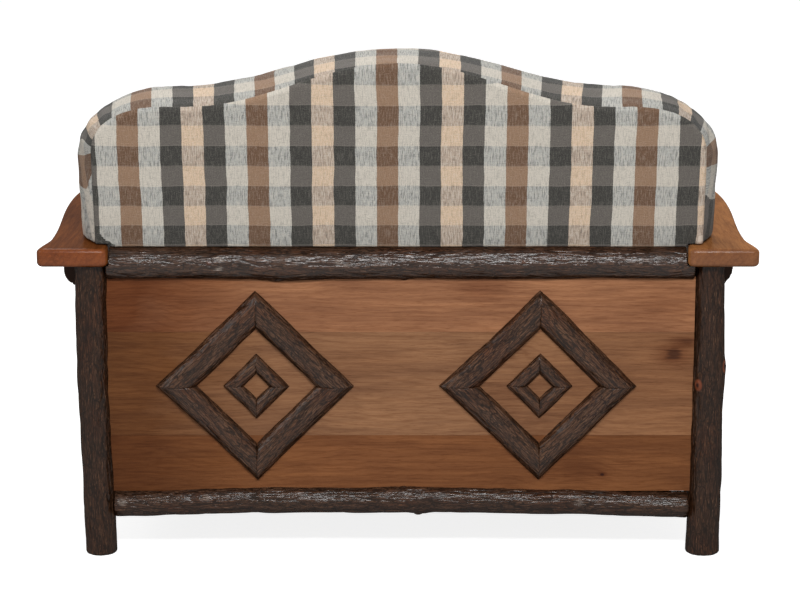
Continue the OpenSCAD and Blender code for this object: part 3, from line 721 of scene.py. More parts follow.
@dataclass(frozen=True)
class PlaidFinish:
    """Woven plaid: six stripes across, light and dark rows along, with slubby yarns.

    The cloth_place kept on the mesh is metres across the stripes, then metres along them.
    """

    name: str = "plaid"
    stripe: float = 41.6 * MM
    first_stripe: float = -0.5 * MM
    row: float = 40.9 * MM
    first_row: float = 6 * MM
    yarn: float = 1.7 * MM
    cream: Colour = paint(203, 196, 184)
    grey: Colour = paint(174, 174, 169)
    brown: Colour = paint(147, 118, 95)
    deep_brown: Colour = paint(108, 81, 62)
    slate: Colour = paint(100, 95, 90)
    charcoal: Colour = paint(62, 61, 58)
    peach: Colour = paint(215, 189, 162)
    dusty_peach: Colour = paint(185, 166, 149)
    weave_hollow_shade: Colour = (0.55, 0.54, 0.53, 1)
    slub_shadow: Colour = (0.72, 0.72, 0.72, 1)
    slubs: Tuple[float, ...] = (0.28, 1.0, 0.14, 1.0, 0.14, 1.0)
    wander: float = 7 * MM
    stray: float = 1.6 * MM
    edge_line: float = 1.4 * MM

    def make(self) -> bpy.types.Material:
        """Builds the material."""
        s = Shader(self.name)
        cloth = s.read("cloth_place")
        across, along, _ = s.split(cloth)
        u, v = self.wandering(s, cloth)
        stripe = s.sum("FLOOR", s.sum("DIVIDE", s.sum("SUBTRACT", u, self.first_stripe), self.stripe))
        turn = s.sum("DIVIDE", s.sum("ADD", s.sum("FLOORED_MODULO", stripe, 6), 0.5), 6)
        row = s.sum("FLOOR", s.sum("DIVIDE", s.sum("SUBTRACT", v, self.first_row), self.row))
        light_row = s.sum("FLOORED_MODULO", row, 2)
        light = (self.brown, self.cream, self.slate, self.peach, self.slate, self.cream)
        dark = (self.deep_brown, self.grey, self.charcoal, self.dusty_peach, self.charcoal, self.grey)
        colour = s.mix(light_row, self.six(s, turn, dark), self.six(s, turn, light))

        long_slub = s.noise(cloth, (540, 50, 0), 3, 0.7, 0.25)
        cross_slub = s.noise(cloth, (60, 420, 0), 3, 0.65, shift=(7, 3, 0))
        strength = self.six(s, turn, [(share, share, share, 1) for share in self.slubs])
        in_row = s.sum("MULTIPLY_ADD", s.sum("SUBTRACT", 1, light_row), 0.5, 0.5)
        bright = s.sum("MULTIPLY", s.span(long_slub, 0.5, 0.6, 0, 1), strength)
        deep = s.sum("MULTIPLY", s.span(long_slub, 0.4, 0.5, 1, 0), strength)
        colour = s.mix(s.sum("MULTIPLY", bright, in_row), colour, s.mix(0.5, colour, self.cream))
        colour = s.mix(s.sum("MULTIPLY", deep, in_row), colour, s.mix(0.5, colour, self.charcoal))
        bright = s.sum("MULTIPLY", s.span(cross_slub, 0.5, 0.7, 0, 0.3), strength)
        deep = s.sum("MULTIPLY", s.span(cross_slub, 0.3, 0.48, 0.4, 0), strength)
        colour = s.mix(bright, colour, self.cream)
        colour = s.mix(deep, colour, s.mix(0.5, colour, self.charcoal))
        speck = s.noise(cloth, (520, 420, 0), 2, 0.75)
        colour = s.tint(s.span(speck, 0.34, 0.5, 0.8, 0), colour, self.slub_shadow)
        colour = s.mix(s.span(speck, 0.54, 0.68, 0, 0.1), colour, self.cream)

        past = s.sum("FLOORED_MODULO", s.sum("SUBTRACT", v, self.first_row), self.row)
        line = s.sum("LESS_THAN", past, self.edge_line)
        colour = s.mix(s.sum("MULTIPLY", line, 0.08), colour, self.cream)
        pitch = 2 * math.pi / self.yarn
        warp = s.sum("SINE", s.sum("MULTIPLY", across, pitch))
        weft = s.sum("SINE", s.sum("MULTIPLY", along, pitch))
        weave = s.sum("MULTIPLY_ADD", s.sum("MULTIPLY", warp, weft), 0.5, 0.5)
        # Painted shade in the hollows of the weave, between the yarns.
        colour = s.tint(s.span(weave, 0, 0.5, 0.34, 0), colour, self.weave_hollow_shade)
        puff = s.bump(s.sum("ADD", long_slub, cross_slub), 1.2 * MM, 0.55)
        normal = s.bump(weave, 0.7 * MM, 0.7, puff)
        return s.dress(
            Base_Color=colour, Roughness=0.92, Normal=normal, Specular_IOR_Level=0.08,
            Sheen_Weight=0.08, Sheen_Roughness=0.5,
        )

    def wandering(self, s: Shader, cloth: Socket) -> Tuple[Socket, Socket]:
        """Place on the cloth where the yarns waver and stray ones cross a stripe's edge.

        Args:
            s: The material's nodes.
            cloth: Place on the cloth.

        Returns:
            The wavering place across the stripes and along them.
        """
        across, along, _ = s.split(cloth)
        stray = s.sum("SUBTRACT", s.noise(cloth, (900, 900, 0), 1), 0.5)
        wobble = s.sum("MULTIPLY", stray, self.stray)
        places = []
        for part, scale, shift in ((across, (5, 13, 0), (3, 1, 0)), (along, (11, 5, 0), (9, 4, 0))):
            sway = s.sum("SUBTRACT", s.noise(cloth, scale, 2, shift=shift), 0.5)
            places.append(s.sum("ADD", part, s.sum("MULTIPLY_ADD", sway, self.wander, wobble)))
        return places[0], places[1]

    def six(self, s: Shader, turn: Socket, colours: Sequence[Colour]) -> Socket:
        """One colour for each of the six stripes of a repeat."""
        return s.ramp(turn, [(i / 6, colour) for i, colour in enumerate(colours)], True)


@dataclass(frozen=True)
class SteelFinish:
    """Zinc-plated fasteners with fine turning marks."""

    name: str = "steel"
    bright: Colour = paint(196, 197, 200)
    dull: Colour = paint(150, 150, 150)

    def make(self) -> bpy.types.Material:
        """Builds the material."""
        s = Shader(self.name)
        marks = s.noise(s.place(), (1800, 300, 1800))
        colour = s.ramp(marks, [(0.3, self.dull), (0.7, self.bright)])
        rough = s.span(marks, 0.2, 0.8, 0.42, 0.26)
        relief = s.bump(marks, 0.1 * MM, 0.5)
        return s.dress(Base_Color=colour, Metallic=1.0, Roughness=rough, Normal=relief)


@dataclass(frozen=True)
class ClothFinish:
    """Plain hidden cloth: webbing or the cover of the deck."""

    name: str
    dark: Colour
    light: Colour
    yarn: float = 2.4 * MM

    def make(self) -> bpy.types.Material:
        """Builds the material."""
        s = Shader(self.name)
        place = s.place()
        x, y, z = s.split(place)
        pitch = 2 * math.pi / self.yarn
        warp = s.sum("SINE", s.sum("MULTIPLY", s.sum("ADD", x, z), pitch))
        weft = s.sum("SINE", s.sum("MULTIPLY", s.sum("ADD", y, z), pitch))
        weave = s.sum("MULTIPLY_ADD", s.sum("MULTIPLY", warp, weft), 0.5, 0.5)
        cloudy = s.noise(place, 90, 4)
        tone = s.sum("MULTIPLY_ADD", cloudy, 0.6, s.sum("MULTIPLY", weave, 0.4))
        colour = s.ramp(tone, [(0.2, self.dark), (0.8, self.light)])
        relief = s.bump(weave, 0.6 * MM, 0.6)
        return s.dress(Base_Color=colour, Roughness=0.95, Specular_IOR_Level=0.2, Normal=relief)


class Finishes:
    """Every finish of the loveseat, made once."""

    # Each board is darker towards its left end: partly the wood's tone, partly painted shade, as less
    # light falls on the left.
    TOP_BOARD = dict(left=paint(94, 53, 30), middle=paint(142, 98, 71), right=paint(139, 95, 68))
    MIDDLE_BOARD = dict(left=paint(92, 57, 33), middle=paint(129, 92, 67), right=paint(126, 87, 61))
    BOTTOM_BOARD = dict(left=paint(86, 50, 27), middle=paint(122, 78, 49), right=paint(110, 69, 42))

    def __init__(self) -> None:
        """Builds the materials."""
        # The rails' bark is lighter than the posts': partly a paler bark, partly painted light and sheen
        # from above.
        rail = dict(ridge=paint(60, 40, 29), crest=paint(90, 65, 50), gloss=0.2)
        diamond = dict(ridge=paint(75, 50, 35), crest=paint(102, 74, 55), gloss=0.2)
        self.bark = BarkFinish().make()
        self.top_bark = BarkFinish("bark_top_rail", varnish=0.08, **rail).make()
        self.rail_bark = BarkFinish("bark_rail", varnish=0.052, **rail).make()
        self.diamond_bark = BarkFinish("bark_diamond", varnish=0.058, **diamond).make()
        self.log_end = EndGrainFinish().make()
        self.arms = self.arm_finishes()
        self.panels = self.panel_finishes()
        dull = dict(gloss=0.6)
        deck = (paint(72, 62, 52), paint(112, 98, 84), 1.6 * MM)
        self.by_slot = {
            "log_bark": self.bark,
            "arm_wood": self.arms["arm_left"],
            "panel_wood": WoodFinish("wood_panel", Axis.Y, paint(128, 88, 62), seed=4.4).make(),
            "plain_pine": WoodFinish("wood_pine", Axis.X, paint(204, 172, 124), seed=2.2, **dull).make(),
            "hardboard": WoodFinish("hardboard", Axis.X, paint(112, 80, 56), seed=6.1, **dull).make(),
            "steel": SteelFinish().make(),
            "webbing": ClothFinish("webbing", paint(40, 36, 32), paint(78, 70, 60)).make(),
            "deck_cloth": ClothFinish("deck_cloth", *deck).make(),
            "plaid_cloth": PlaidFinish().make(),
        }
        self.front_panel = WoodFinish("wood_front", Axis.X, seed=7.3, **self.MIDDLE_BOARD).make()
        self.plaid = self.by_slot["plaid_cloth"]

    def arm_finishes(self) -> Dict[str, bpy.types.Material]:
        """The arms' stains, with painted shade: the left arm is dark with a paler sawn end, the right
        the reverse.
        """
        shared = dict(grain=Axis.Y, varnish=0.06, gloss=0.2, sawn_at=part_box("arm_left")[1].y)
        # The left arm is darker than the right: partly its stain, partly painted shade, as less light
        # falls on the left.
        left = dict(middle=paint(96, 53, 24), seed=3.1, contrast=0.95, sawn=(1.4, 1.2, 1.1, 1))
        right = dict(middle=paint(144, 95, 56), seed=8.4, contrast=0.75, sawn=(0.62, 0.58, 0.66, 1))
        return {
            "arm_left": WoodFinish("wood_arm_left", **left, **shared).make(),
            "arm_right": WoodFinish("wood_arm_right", **right, **shared).make(),
        }

    def panel_finishes(self) -> Dict[str, bpy.types.Material]:
        """The three boards of the rear panel, with their knots and clouds."""
        top_knots = (
            Knot(-0.168, 0.54, 0.02, 0, 0.6, 2.0), Knot(-0.53, 0.51, 0.02, 0, 0.4),
            Knot(0.36, 0.5, 0.02, 0, 0.3),
        )
        middle_knots = (
            Knot(-0.545, 0.41, 0.019, 0.7, 1, 1.5), Knot(-0.572, 0.434, 0.009, 0.3, 0.9, 2.6),
            Knot(-0.2, 0.32, 0.02, 0, 0.3), Knot(0.05, 0.4, 0.022, 0, 0.3),
        )
        bottom_knots = (Knot(-0.407, 0.162, 0.0042, 0.9, 0.9, 1.6), Knot(-0.36, 0.17, 0.016, 0, 0.4))
        boards = (
            ("top", 1.3, top_knots, self.TOP_BOARD), ("middle", 5.2, middle_knots, self.MIDDLE_BOARD),
            ("bottom", 9.7, bottom_knots, self.BOTTOM_BOARD),
        )
        made = {}
        for place, seed, knots, stain in boards:
            finish = WoodFinish("wood_" + place, Axis.X, seed=seed, contrast=0.85, knots=knots, **stain)
            made["rear_board_" + place] = finish.make()
        return made


# Logs


@dataclass(frozen=True)
class Scar:
    """A branch scar on a log.

    It lies so many metres along the log from its zero, and degrees round it. Its size and rise are
    in millimetres, redness and paleness run from 0 to 1, and long is its length over its width.
    """

    along: float
    turn: float
    size: float
    rise: float
    redness: float = 1.0
    # paleness paints pale marks, partly wear and partly painted glints.
    paleness: float = 0.0
    long: float = 1.25


def bark_height(turn: np.ndarray, along: np.ndarray, girth: float, seed: int) -> np.ndarray:
    """Height of the bark from 0, a furrow, to 1, the crest of a plate.

    Args:
        turn: Place round the log, 0 to 1.
        along: Place along the log, in metres.
        girth: Way round the log, in metres.
        seed: Which log.

    Returns:
        The height at each place.
    """

    def layer(cell: float, stretch: float, number: int, sway: object = 0.0) -> np.ndarray:
        """One layer of noise with cells of a real width."""
        count = max(3, round(girth / cell))
        u, v = turn * count + sway / cell, along / (cell * stretch)
        return value_noise(u, v, count, seed * 17 + number)

    def ridges(cell: float, stretch: float, number: int) -> np.ndarray:
        """Long round ridges with narrow furrows between them."""
        wave = layer(cell, stretch, number, sway)
        return np.sqrt(np.clip(np.abs(2 * wave - 1) * 1.25, 0, 1))

    sway = (layer(32 * MM, 2.6, 1) - 0.5) * 22 * MM + (layer(12 * MM, 4, 2) - 0.5) * 9 * MM
    broad = ridges(13 * MM, 7, 3)
    strips = ridges(7.5 * MM, 8, 4)
    fibres = layer(3.4 * MM, 9, 5, sway)
    return 0.4 * broad + 0.42 * strips + 0.18 * fibres


@dataclass
class BarkLog:
    """A log with its bark on, along one axis of the frame.

    The taper and the two drifts are stations: a share of the length, then how many millimetres
    the radius or the middle line gives way there.
    """

    node: str
    start: Vector
    end: Vector
    radius: float
    taper: Table
    seed: int
    drift_a: Table = ((0, 0), (1, 0))
    drift_b: Table = ((0, 0), (1, 0))
    scars: Sequence[Scar] = ()
    zero: float = 0.0
    rounded: Tuple[float, float] = (2 * MM, 2 * MM)
    depth: float = 3.6 * MM
    lumps: float = 2.2 * MM
    lump_length: float = 95 * MM
    lump_width: float = 70 * MM
    groove: float = 1.4 * MM
    trim: Optional[PointRule] = None
    cuts: Sequence[float] = ()
    step_along: float = 3.0 * MM
    step_round: float = 1.7 * MM
    end_rings: Tuple[float, ...] = (0.985, 0.7, 0.4, 0.12)

    def axes(self) -> Tuple[np.ndarray, np.ndarray, np.ndarray]:
        """The log's own directions: across, the other way across, and along."""
        along = np.array((self.end - self.start).normalized())
        if abs(along[2]) > 0.9:
            return np.array([1.0, 0, 0]), np.array([0, 1.0, 0]), along
        if abs(along[0]) > 0.9:
            return np.array([0, 1.0, 0]), np.array([0, 0, 1.0]), along
        return np.array([1.0, 0, 0]), np.array([0, 0, 1.0]), along

    def scarred(
        self, r: np.ndarray, turn: np.ndarray, along: np.ndarray, girth: float
    ) -> Tuple[np.ndarray, np.ndarray, np.ndarray]:
        """Raises the branch scars, each in its ring-shaped groove.

        Args:
            r: Radius at each place.
            turn: Place round the log, 0 to 1.
            along: Place along the log, in metres.
            girth: Way round the log, in metres.

        Returns:
            The radius with the scars, and how red and how pale each place is.
        """
        red, pale = np.zeros_like(r), np.zeros_like(r)
        for scar in self.scars:
            size = scar.size * MM
            off = (turn - scar.turn / 360 + 0.5) % 1 - 0.5
            away = np.hypot(off * girth, (along - (self.zero + scar.along)) / scar.long) / size
            groove = min(self.groove, size * 0.15)
            trough = groove * np.exp(-(((away - 0.62) / 0.22) ** 2))
            r = r + scar.rise * MM * np.exp(-(away ** 2)) - trough
            red = np.maximum(red, scar.redness * np.clip(1 - away / 1.1, 0, 1))
            # Pale marks: partly wear, partly painted glints.
            pale = np.maximum(pale, scar.paleness * np.exp(-((away / 0.8) ** 4)))
        return r, red, pale

    def build(self, bark: bpy.types.Material, end_grain: bpy.types.Material) -> None:
        """Makes the log.

        Args:
            bark: Finish of the round.
            end_grain: Finish of the sawn ends.
        """
        length = (self.end - self.start).length
        radii = [(at, self.radius + more * MM) for at, more in self.taper]
        girth = 2 * math.pi * max(r for _, r in radii)
        cols = int(girth / self.step_round)
        rows = int(length / self.step_along)
        sharp = [cut + side for cut in self.cuts for side in (-0.05 * MM, 0.05 * MM)]
        along = np.sort(np.concatenate([np.linspace(0, length, rows), sharp]))[:, None]
        turn, along = np.broadcast_arrays(np.arange(cols)[None, :] / cols, along)
        share = along / length

        height = bark_height(turn, along, girth, self.seed)
        cells = max(3, round(girth / self.lump_width))
        lump = value_noise(turn * cells, along / self.lump_length, cells, self.seed * 31 + 5) - 0.5
        r = stations(share, radii) + (height - 0.62) * self.depth + lump * self.lumps
        r, red, pale = self.scarred(r, turn, along, girth)
        for edge, soft in zip((along, length - along), self.rounded):
            if soft:
                r = r - soft * roll_off(np.clip(1 - edge / soft, 0, 1), 0.96)

        tables = [[(at, off * MM) for at, off in table] for table in (self.drift_a, self.drift_b)]
        drifts = [stations(share, table) for table in tables]
        angle = turn * 2 * math.pi
        body = np.stack([drifts[0] + r * np.cos(angle), drifts[1] + r * np.sin(angle), along], -1)
        caps = len(self.end_rings)

        def cap(row: int) -> np.ndarray:
            """Rings that close one end, shrinking to its middle."""
            rim = body[row]
            middle = np.array([drifts[0][row, 0], drifts[1][row, 0], rim[0, 2]])
            return np.stack([middle + (rim - middle) * k for k in self.end_rings])

        def capped(values: np.ndarray, kept: float = 0.0) -> np.ndarray:
            """Numbers of the round, with a share of them kept on the ends."""
            first, last = np.repeat(values[:1], caps, 0) * kept, np.repeat(values[-1:], caps, 0) * kept
            return np.concatenate([first, values, last]).ravel()

        rings = np.concatenate([cap(0)[::-1], body, cap(-1)])
        local = rings.reshape(-1, 3)
        a_dir, b_dir, l_dir = self.axes()
        start = np.array(self.start)
        points = start + local[:, :1] * a_dir + local[:, 1:2] * b_dir + local[:, 2:] * l_dir
        if self.trim:
            points = self.trim(points)
        turned = np.dot(np.cross(a_dir, b_dir), l_dir) < 0
        faces = grid_faces(len(rings), cols, True)
        first = np.arange(cols)[::-1]
        last = np.arange(cols) + (len(rings) - 1) * cols
        faces = [face[::-1] if turned else face for face in [*faces, first, last]]
        piece = new_piece(self.node + "_log", points, faces, [bark, end_grain])
        ends = np.zeros(len(faces), np.int32)
        ends[: caps * cols] = 1
        ends[(len(rings) - 1 - caps) * cols:] = 1
        piece.data.polygons.foreach_set("material_index", ends)
        mark(piece, "log_place", local + np.array([0, 0, self.seed * 0.37]))
        mark(piece, "relief", capped(height, 1.0))
        mark(piece, "scar", capped(red))
        mark(piece, "scuff_and_glint", capped(pale))
        mount(piece, Body.FRAME, "log_bark", self.node)


@dataclass
class LogFrame:
    """The four posts and the eight rails, sized from the frame."""

    finishes: Finishes
    tenon_cover: float = 4 * MM

    def __post_init__(self) -> None:
        """Reads the sizes of the logs from the frame."""
        low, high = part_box("post_front_left")
        arm_low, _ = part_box("arm_left")
        self.post_x = (low.x + high.x) / 2
        self.post_y = -(low.y + high.y) / 2
        self.post_r = (high.x - low.x) / 2
        self.arm_under = arm_low.z
        self.arm_cut = arm_low.x - 0.4 * MM
        self.rail_x = self.post_x - self.post_r + self.tenon_cover
        self.rail_y = self.post_y - self.post_r + self.tenon_cover

    def posts(self) -> None:
        """Makes the four posts; the rear pair follows the photograph."""
        rear_left = dict(
            taper=((0, 0.3), (0.4, 0.3), (0.7, 0.3), (1, 1.2)),
            drift_a=((0, -12), (0.2, -10), (0.41, -6.5), (0.63, -3), (0.8, -3.5), (1, -4.5)),
            scars=(Scar(0.12, 140, 11, 1, 0), Scar(0.42, 300, 12, 2.5, 0.7)),
        )
        rear_right = dict(
            taper=((0, 1.5), (0.28, 1), (0.5, 0), (0.6, 1.5), (0.8, -2), (1, -3)),
            drift_a=((0, -4), (0.3, -6), (0.62, -8), (1, -5)),
            scars=(
                Scar(0.386, 152, 9, 4, 1.0, long=1.6), Scar(0.35, 46, 10, 4, 0.72, long=1.4),
                Scar(0.23, 96, 10, 1.5, 0.04), Scar(0.47, 215, 11, 3, 0.6),
            ),
        )
        front_left = dict(
            taper=((0, 1), (0.4, -1.5), (0.75, 0), (1, -1)),
            drift_a=((0, 0), (0.5, -3), (1, 0)), drift_b=((0, 2), (0.5, -2), (1, 0)),
            scars=(Scar(0.44, 285, 13, 4, 0.7), Scar(0.17, 240, 11, 2.5, 0.6)),
        )
        front_right = dict(
            taper=((0, 0), (0.3, 1), (0.6, -1.5), (1, -0.5)),
            drift_a=((0, 2), (0.5, 3), (1, 0)), drift_b=((0, -1), (0.5, 2), (1, 0)),
            scars=(Scar(0.21, 262, 12, 4, 0.7), Scar(0.5, 310, 10, 2, 0.5)),
        )
        for name, side, way, seed, shape in (
            ("rear_left", 1, 1, 11, rear_left), ("rear_right", -1, 1, 23, rear_right),
            ("front_left", 1, -1, 37, front_left), ("front_right", -1, -1, 41, front_right),
        ):
            x, y = side * self.post_x, way * self.post_y
            foot, head = Vector((x, y, 0)), Vector((x, y, self.arm_under - 0.3 * MM))
            post = BarkLog(
                "post_" + name, foot, head, self.post_r, seed=seed, rounded=(3 * MM, 0), **shape
            )
            post.build(self.finishes.bark, self.finishes.log_end)

    def under_arms(self, points: np.ndarray) -> np.ndarray:
        """Cuts the upper half of a rail's ends away where the arms lie on them."""
        points = points.copy()
        below = np.abs(points[:, 0]) > self.arm_cut
        points[below, 2] = np.minimum(points[below, 2], self.arm_under - 0.4 * MM)
        return points

    def rails_across(self) -> None:
        """Makes the four rails that run from post to post at the rear and in front."""
        top, bottom, seat = map(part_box, ("rail_rear_top", "rail_rear_bottom", "rail_front_seat"))
        r = (top[1].y - top[0].y) / 2
        low_r = (bottom[1].z - bottom[0].z) / 2
        low_z = (bottom[1].z + bottom[0].z) / 2
        seat_z = seat[0].z + r
        finishes = self.finishes
        bark, end = finishes.rail_bark, finishes.log_end
        half = self.rail_x
        sawn = (5 * MM, 5 * MM)

        def across(y: float, z: float, left: float = 0.0) -> dict:
            """Place of a rail at one height, cut back at its left end, its scars told from x = 0."""
            return dict(start=Vector((-half, y, z)), end=Vector((half - left, y, z)), zero=half)

        def behind_seat(points: np.ndarray) -> np.ndarray:
            """Saws the flat behind the front seat rail."""
            points = points.copy()
            points[:, 1] = np.minimum(points[:, 1], seat[1].y)
            return points

        BarkLog(
            "rail_rear_top", **across(self.post_y, self.arm_under, 9 * MM), seed=53, radius=r,
            taper=((0, 0), (0.15, -1), (0.3, 0.5), (0.47, -1), (0.62, 0), (0.68, 1.5), (0.8, -1),
                   (1, 0)),
            drift_b=((0, 0), (0.2, 0.5), (0.45, 0), (0.68, -1.5), (0.85, 0), (1, 0)),
            rounded=(1.5 * MM, 3 * MM), trim=self.under_arms, lumps=2 * MM,
            cuts=(half - self.arm_cut, half + self.arm_cut),
            # Some of these scars carry pale marks on the crest: partly wear, partly painted glints.
            scars=(
                Scar(0.369, 9, 8, 1, 0.17), Scar(0.352, 30, 3.2, 0.5, 0, 0.8, 3.4),
                Scar(0.346, 20, 2.6, 0.4, 0, 0.6, 3.6), Scar(0.352, 345, 3.2, 0.5, 0, 0.8, 3.2),
                Scar(0.346, 354, 2.4, 0.4, 0, 0.5, 3.4), Scar(0.115, 14, 7, 1.4, 0.05, 0.4, 1.4),
                Scar(0.1, 4, 3, 0.6, 0, 0.4, 4.0), Scar(-0.245, 13, 6.5, 1.2, 0.17, 0, 1.1),
                Scar(-0.325, 22, 4, 0.6, 0.08), Scar(-0.012, 280, 12, 3, 0.1),
                Scar(0.24, 283, 22, 2.5, 0.05),
            ),
        ).build(finishes.top_bark, end)
        BarkLog(
            "rail_rear_bottom", **across(self.post_y, low_z, 14 * MM), seed=67, radius=low_r,
            taper=((0, -1), (0.2, 0), (0.47, 1), (0.75, 0.5), (1, 0)), rounded=sawn,
            drift_b=((0, -10), (0.1, -7), (0.22, -1.5), (0.45, 2.5), (0.75, 1), (1, -6.5)),
            # The pale marks of these scars are painted glints, partly wear.
            scars=(
                Scar(-0.04, 275, 12, 5, 0.1), Scar(-0.01, 82, 13, 2.5, 0.1),
                Scar(0.384, 25, 9, 2.5, 0.0, 0.4), Scar(0.548, 20, 9, 2, 0.0, 0.45),
                Scar(-0.36, 10, 9, 1, 0.1, 0.3),
            ),
        ).build(bark, end)
        BarkLog(
            "rail_front_seat", **across(-self.post_y, seat_z), seed=71, radius=r, rounded=sawn,
            taper=((0, -1), (0.3, -0.5), (0.6, -1.5), (1, -1)), trim=behind_seat, lumps=1.8 * MM,
            scars=(Scar(-0.3, 200, 13, 2.5, 0.7), Scar(0.36, 170, 11, 2, 0.65)),
        ).build(bark, end)
        BarkLog(
            "rail_front_bottom", **across(-self.post_y, low_z), seed=83, radius=low_r, rounded=sawn,
            taper=((0, -2), (0.5, -0.5), (1, -2)), drift_b=((0, -2), (0.4, 1.5), (1, -2)),
            scars=(Scar(0.05, 190, 12, 3, 0.65), Scar(-0.42, 150, 11, 2, 0.6)),
        ).build(bark, end)

    def flat_top(self, points: np.ndarray) -> np.ndarray:
        """Saws a side rail's top flat where the arm lies."""
        points = points.copy()
        points[:, 2] = np.minimum(points[:, 2], self.arm_under - 0.3 * MM)
        return points

    def rails_along(self) -> None:
        """Makes the rails at the sides, the top ones sawn flat under the arms."""
        bark, end = self.finishes.bark, self.finishes.log_end
        half = self.rail_y
        past = 6 * MM
        outboard = 15 * MM
        for side, name in ((1, "left"), (-1, "right")):
            low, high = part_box("rail_side_top_" + name)
            outside = max(abs(low.x), abs(high.x))
            r = outside - self.post_x - outboard
            x, z = side * (outside - r), low.z + r
            BarkLog(
                "rail_side_top_" + name, Vector((x, -half - past, z)), Vector((x, half + past, z)), r,
                ((0, -0.5), (0.5, -1), (1, -0.5)), 97 + side * 4,
                rounded=(3 * MM, 3 * MM), trim=self.flat_top, lumps=1.8 * MM,
                scars=(
                    Scar(half * 0.8, 90 - side * 100, 14, 2.5, 0.8),
                    Scar(half * 1.5, 90 - side * 70, 11, 1.5, 0.5),
                ),
            ).build(bark, end)
            low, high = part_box("rail_side_bottom_" + name)
            r = (high.z - low.z) / 2
            x, z = side * self.post_x, low.z + r
            BarkLog(
                "rail_side_bottom_" + name, Vector((x, -half, z)), Vector((x, half, z)), r,
                ((0, -2), (0.5, -0.5), (1, -2)), 109 + side * 6,
                drift_b=((0, 0), (0.5, side * 1.5), (1, -1)), rounded=(5 * MM, 5 * MM),
                scars=(Scar(half * 1.1, 90 - side * 80, 12, 2.5, 0.8),),
            ).build(bark, end)

    def build(self) -> None:
        """Makes every log."""
        self.posts()
        self.rails_across()
        self.rails_along()


# Half-log diamonds


@dataclass
class HalfLogDiamond:
    """Four mitred half logs on a panel; the left corner may reach further out."""

    node: str
    facing: Vector
    seed: int
    finish: bpy.types.Material
    log_w: float = 54 * MM
    gap: float = 0.15 * MM
    left_reach: float = 0.0
    depth: float = 3 * MM
    lumps: float = 2.4 * MM
    step_along: float = 2.6 * MM

    def __post_init__(self) -> None:
        """Reads the diamond's place and size from the frame."""
        low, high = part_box(self.node)
        self.out = np.array(self.facing)
        self.up = np.array([0.0, 0, 1.0])
        self.across = np.cross(self.up, self.out)
        size = np.array(high - low)
        self.rise = float(abs(size @ self.out))
        self.middle = np.array((low + high) / 2) - self.out * self.rise / 2
        self.half = float(size[2] / 2)
        self.radius = (self.log_w * self.log_w / 4 + self.rise * self.rise) / (2 * self.rise)

    def half_log(self, number: int) -> Tuple[np.ndarray, List[np.ndarray], np.ndarray, np.ndarray]:
        """Makes one of the four half logs, mitred at both ends.

        Args:
            number: Which one, 0 to 3.

        Returns:
            Its points, its faces, each point's place on the log, and the height of its bark.
        """
        w, r = self.log_w, self.radius
        side = self.half / math.sqrt(2)
        spread = math.asin(w / 2 / r)
        fine = 1.8 * MM if w > 40 * MM else 1.5 * MM
        n_round = max(12, int(2 * spread * r / fine))
        n_along = max(16, int(2 * side / self.step_along))
        turn = math.pi / 4 + number * math.pi / 2
        n_dir = math.cos(turn) * self.across + math.sin(turn) * self.up
        l_dir = -math.sin(turn) * self.across + math.cos(turn) * self.up
        phi = np.linspace(-spread, spread, n_round)[None, :]
        reach = side - w / 2 + r * np.sin(phi) - self.gap
        phi, s = np.broadcast_arrays(phi, np.linspace(-1, 1, n_along)[:, None] * reach)
        seed = self.seed * 7 + number
        height = bark_height(phi / (2 * math.pi) + 0.3, s + 0.2, 2 * math.pi * r, seed)
        lump = value_noise(phi * 1.2 + 3, s / (60 * MM) + 3, 8, self.seed * 3 + number) - 0.5
        near_end = np.clip(1 - (reach - np.abs(s)) / (3 * MM), 0, 1)
        r = r + ((height - 0.6) * self.depth + lump * self.lumps - near_end ** 2 * 0.5 * MM)
        off = np.maximum(r * np.cos(phi) - (self.radius - self.rise), 0.0)
        centre = side - w / 2 + r * np.sin(phi)
        grid = self.middle + centre[..., None] * n_dir + s[..., None] * l_dir + off[..., None] * self.out
        points = grid.reshape(-1, 3)
        left = np.clip((self.middle - points) @ self.across / self.half, 0, 1)
        points = points - self.left_reach * (left ** 3)[:, None] * self.across
        first = np.arange(n_round)
        edge = np.arange(n_along) * n_round
        other = edge + n_round - 1
        under = np.stack([edge[:-1], edge[1:], other[1:], other[:-1]], -1)
        faces = [*grid_faces(n_along, n_round), *under[:, ::-1], first[::-1], first + edge[-1]]
        own = self.seed * 0.3 + number * 0.2
        local = np.stack([r * np.sin(phi) + own, r * np.cos(phi), s], -1).reshape(-1, 3)
        return points, faces, local, height.ravel()

    def build(self) -> None:
        """Makes the diamond on the face of its panel."""
        points, faces, places, relief = zip(*map(self.half_log, range(4)))
        starts = np.cumsum([0] + [len(part) for part in points])
        faces = [face + start for part, start in zip(faces, starts) for face in part]
        piece = new_piece(self.node + "_logs", np.concatenate(points), faces, [self.finish])
        turn_faces_out(piece)
        mark(piece, "log_place", np.concatenate(places))
        mark(piece, "relief", np.concatenate(relief))
        mark(piece, "scar", np.zeros(starts[-1]))
        mark(piece, "scuff_and_glint", np.zeros(starts[-1]))
        mount(piece, Body.FRAME, "log_bark", self.node)


def turn_faces_out(piece: bpy.types.Object) -> None:
    """Turns every face of a closed mesh outwards."""
    work = bmesh.new()
    work.from_mesh(piece.data)
    bmesh.ops.recalc_face_normals(work, faces=work.faces)
    work.to_mesh(piece.data)
    work.free()


# Boards and arms


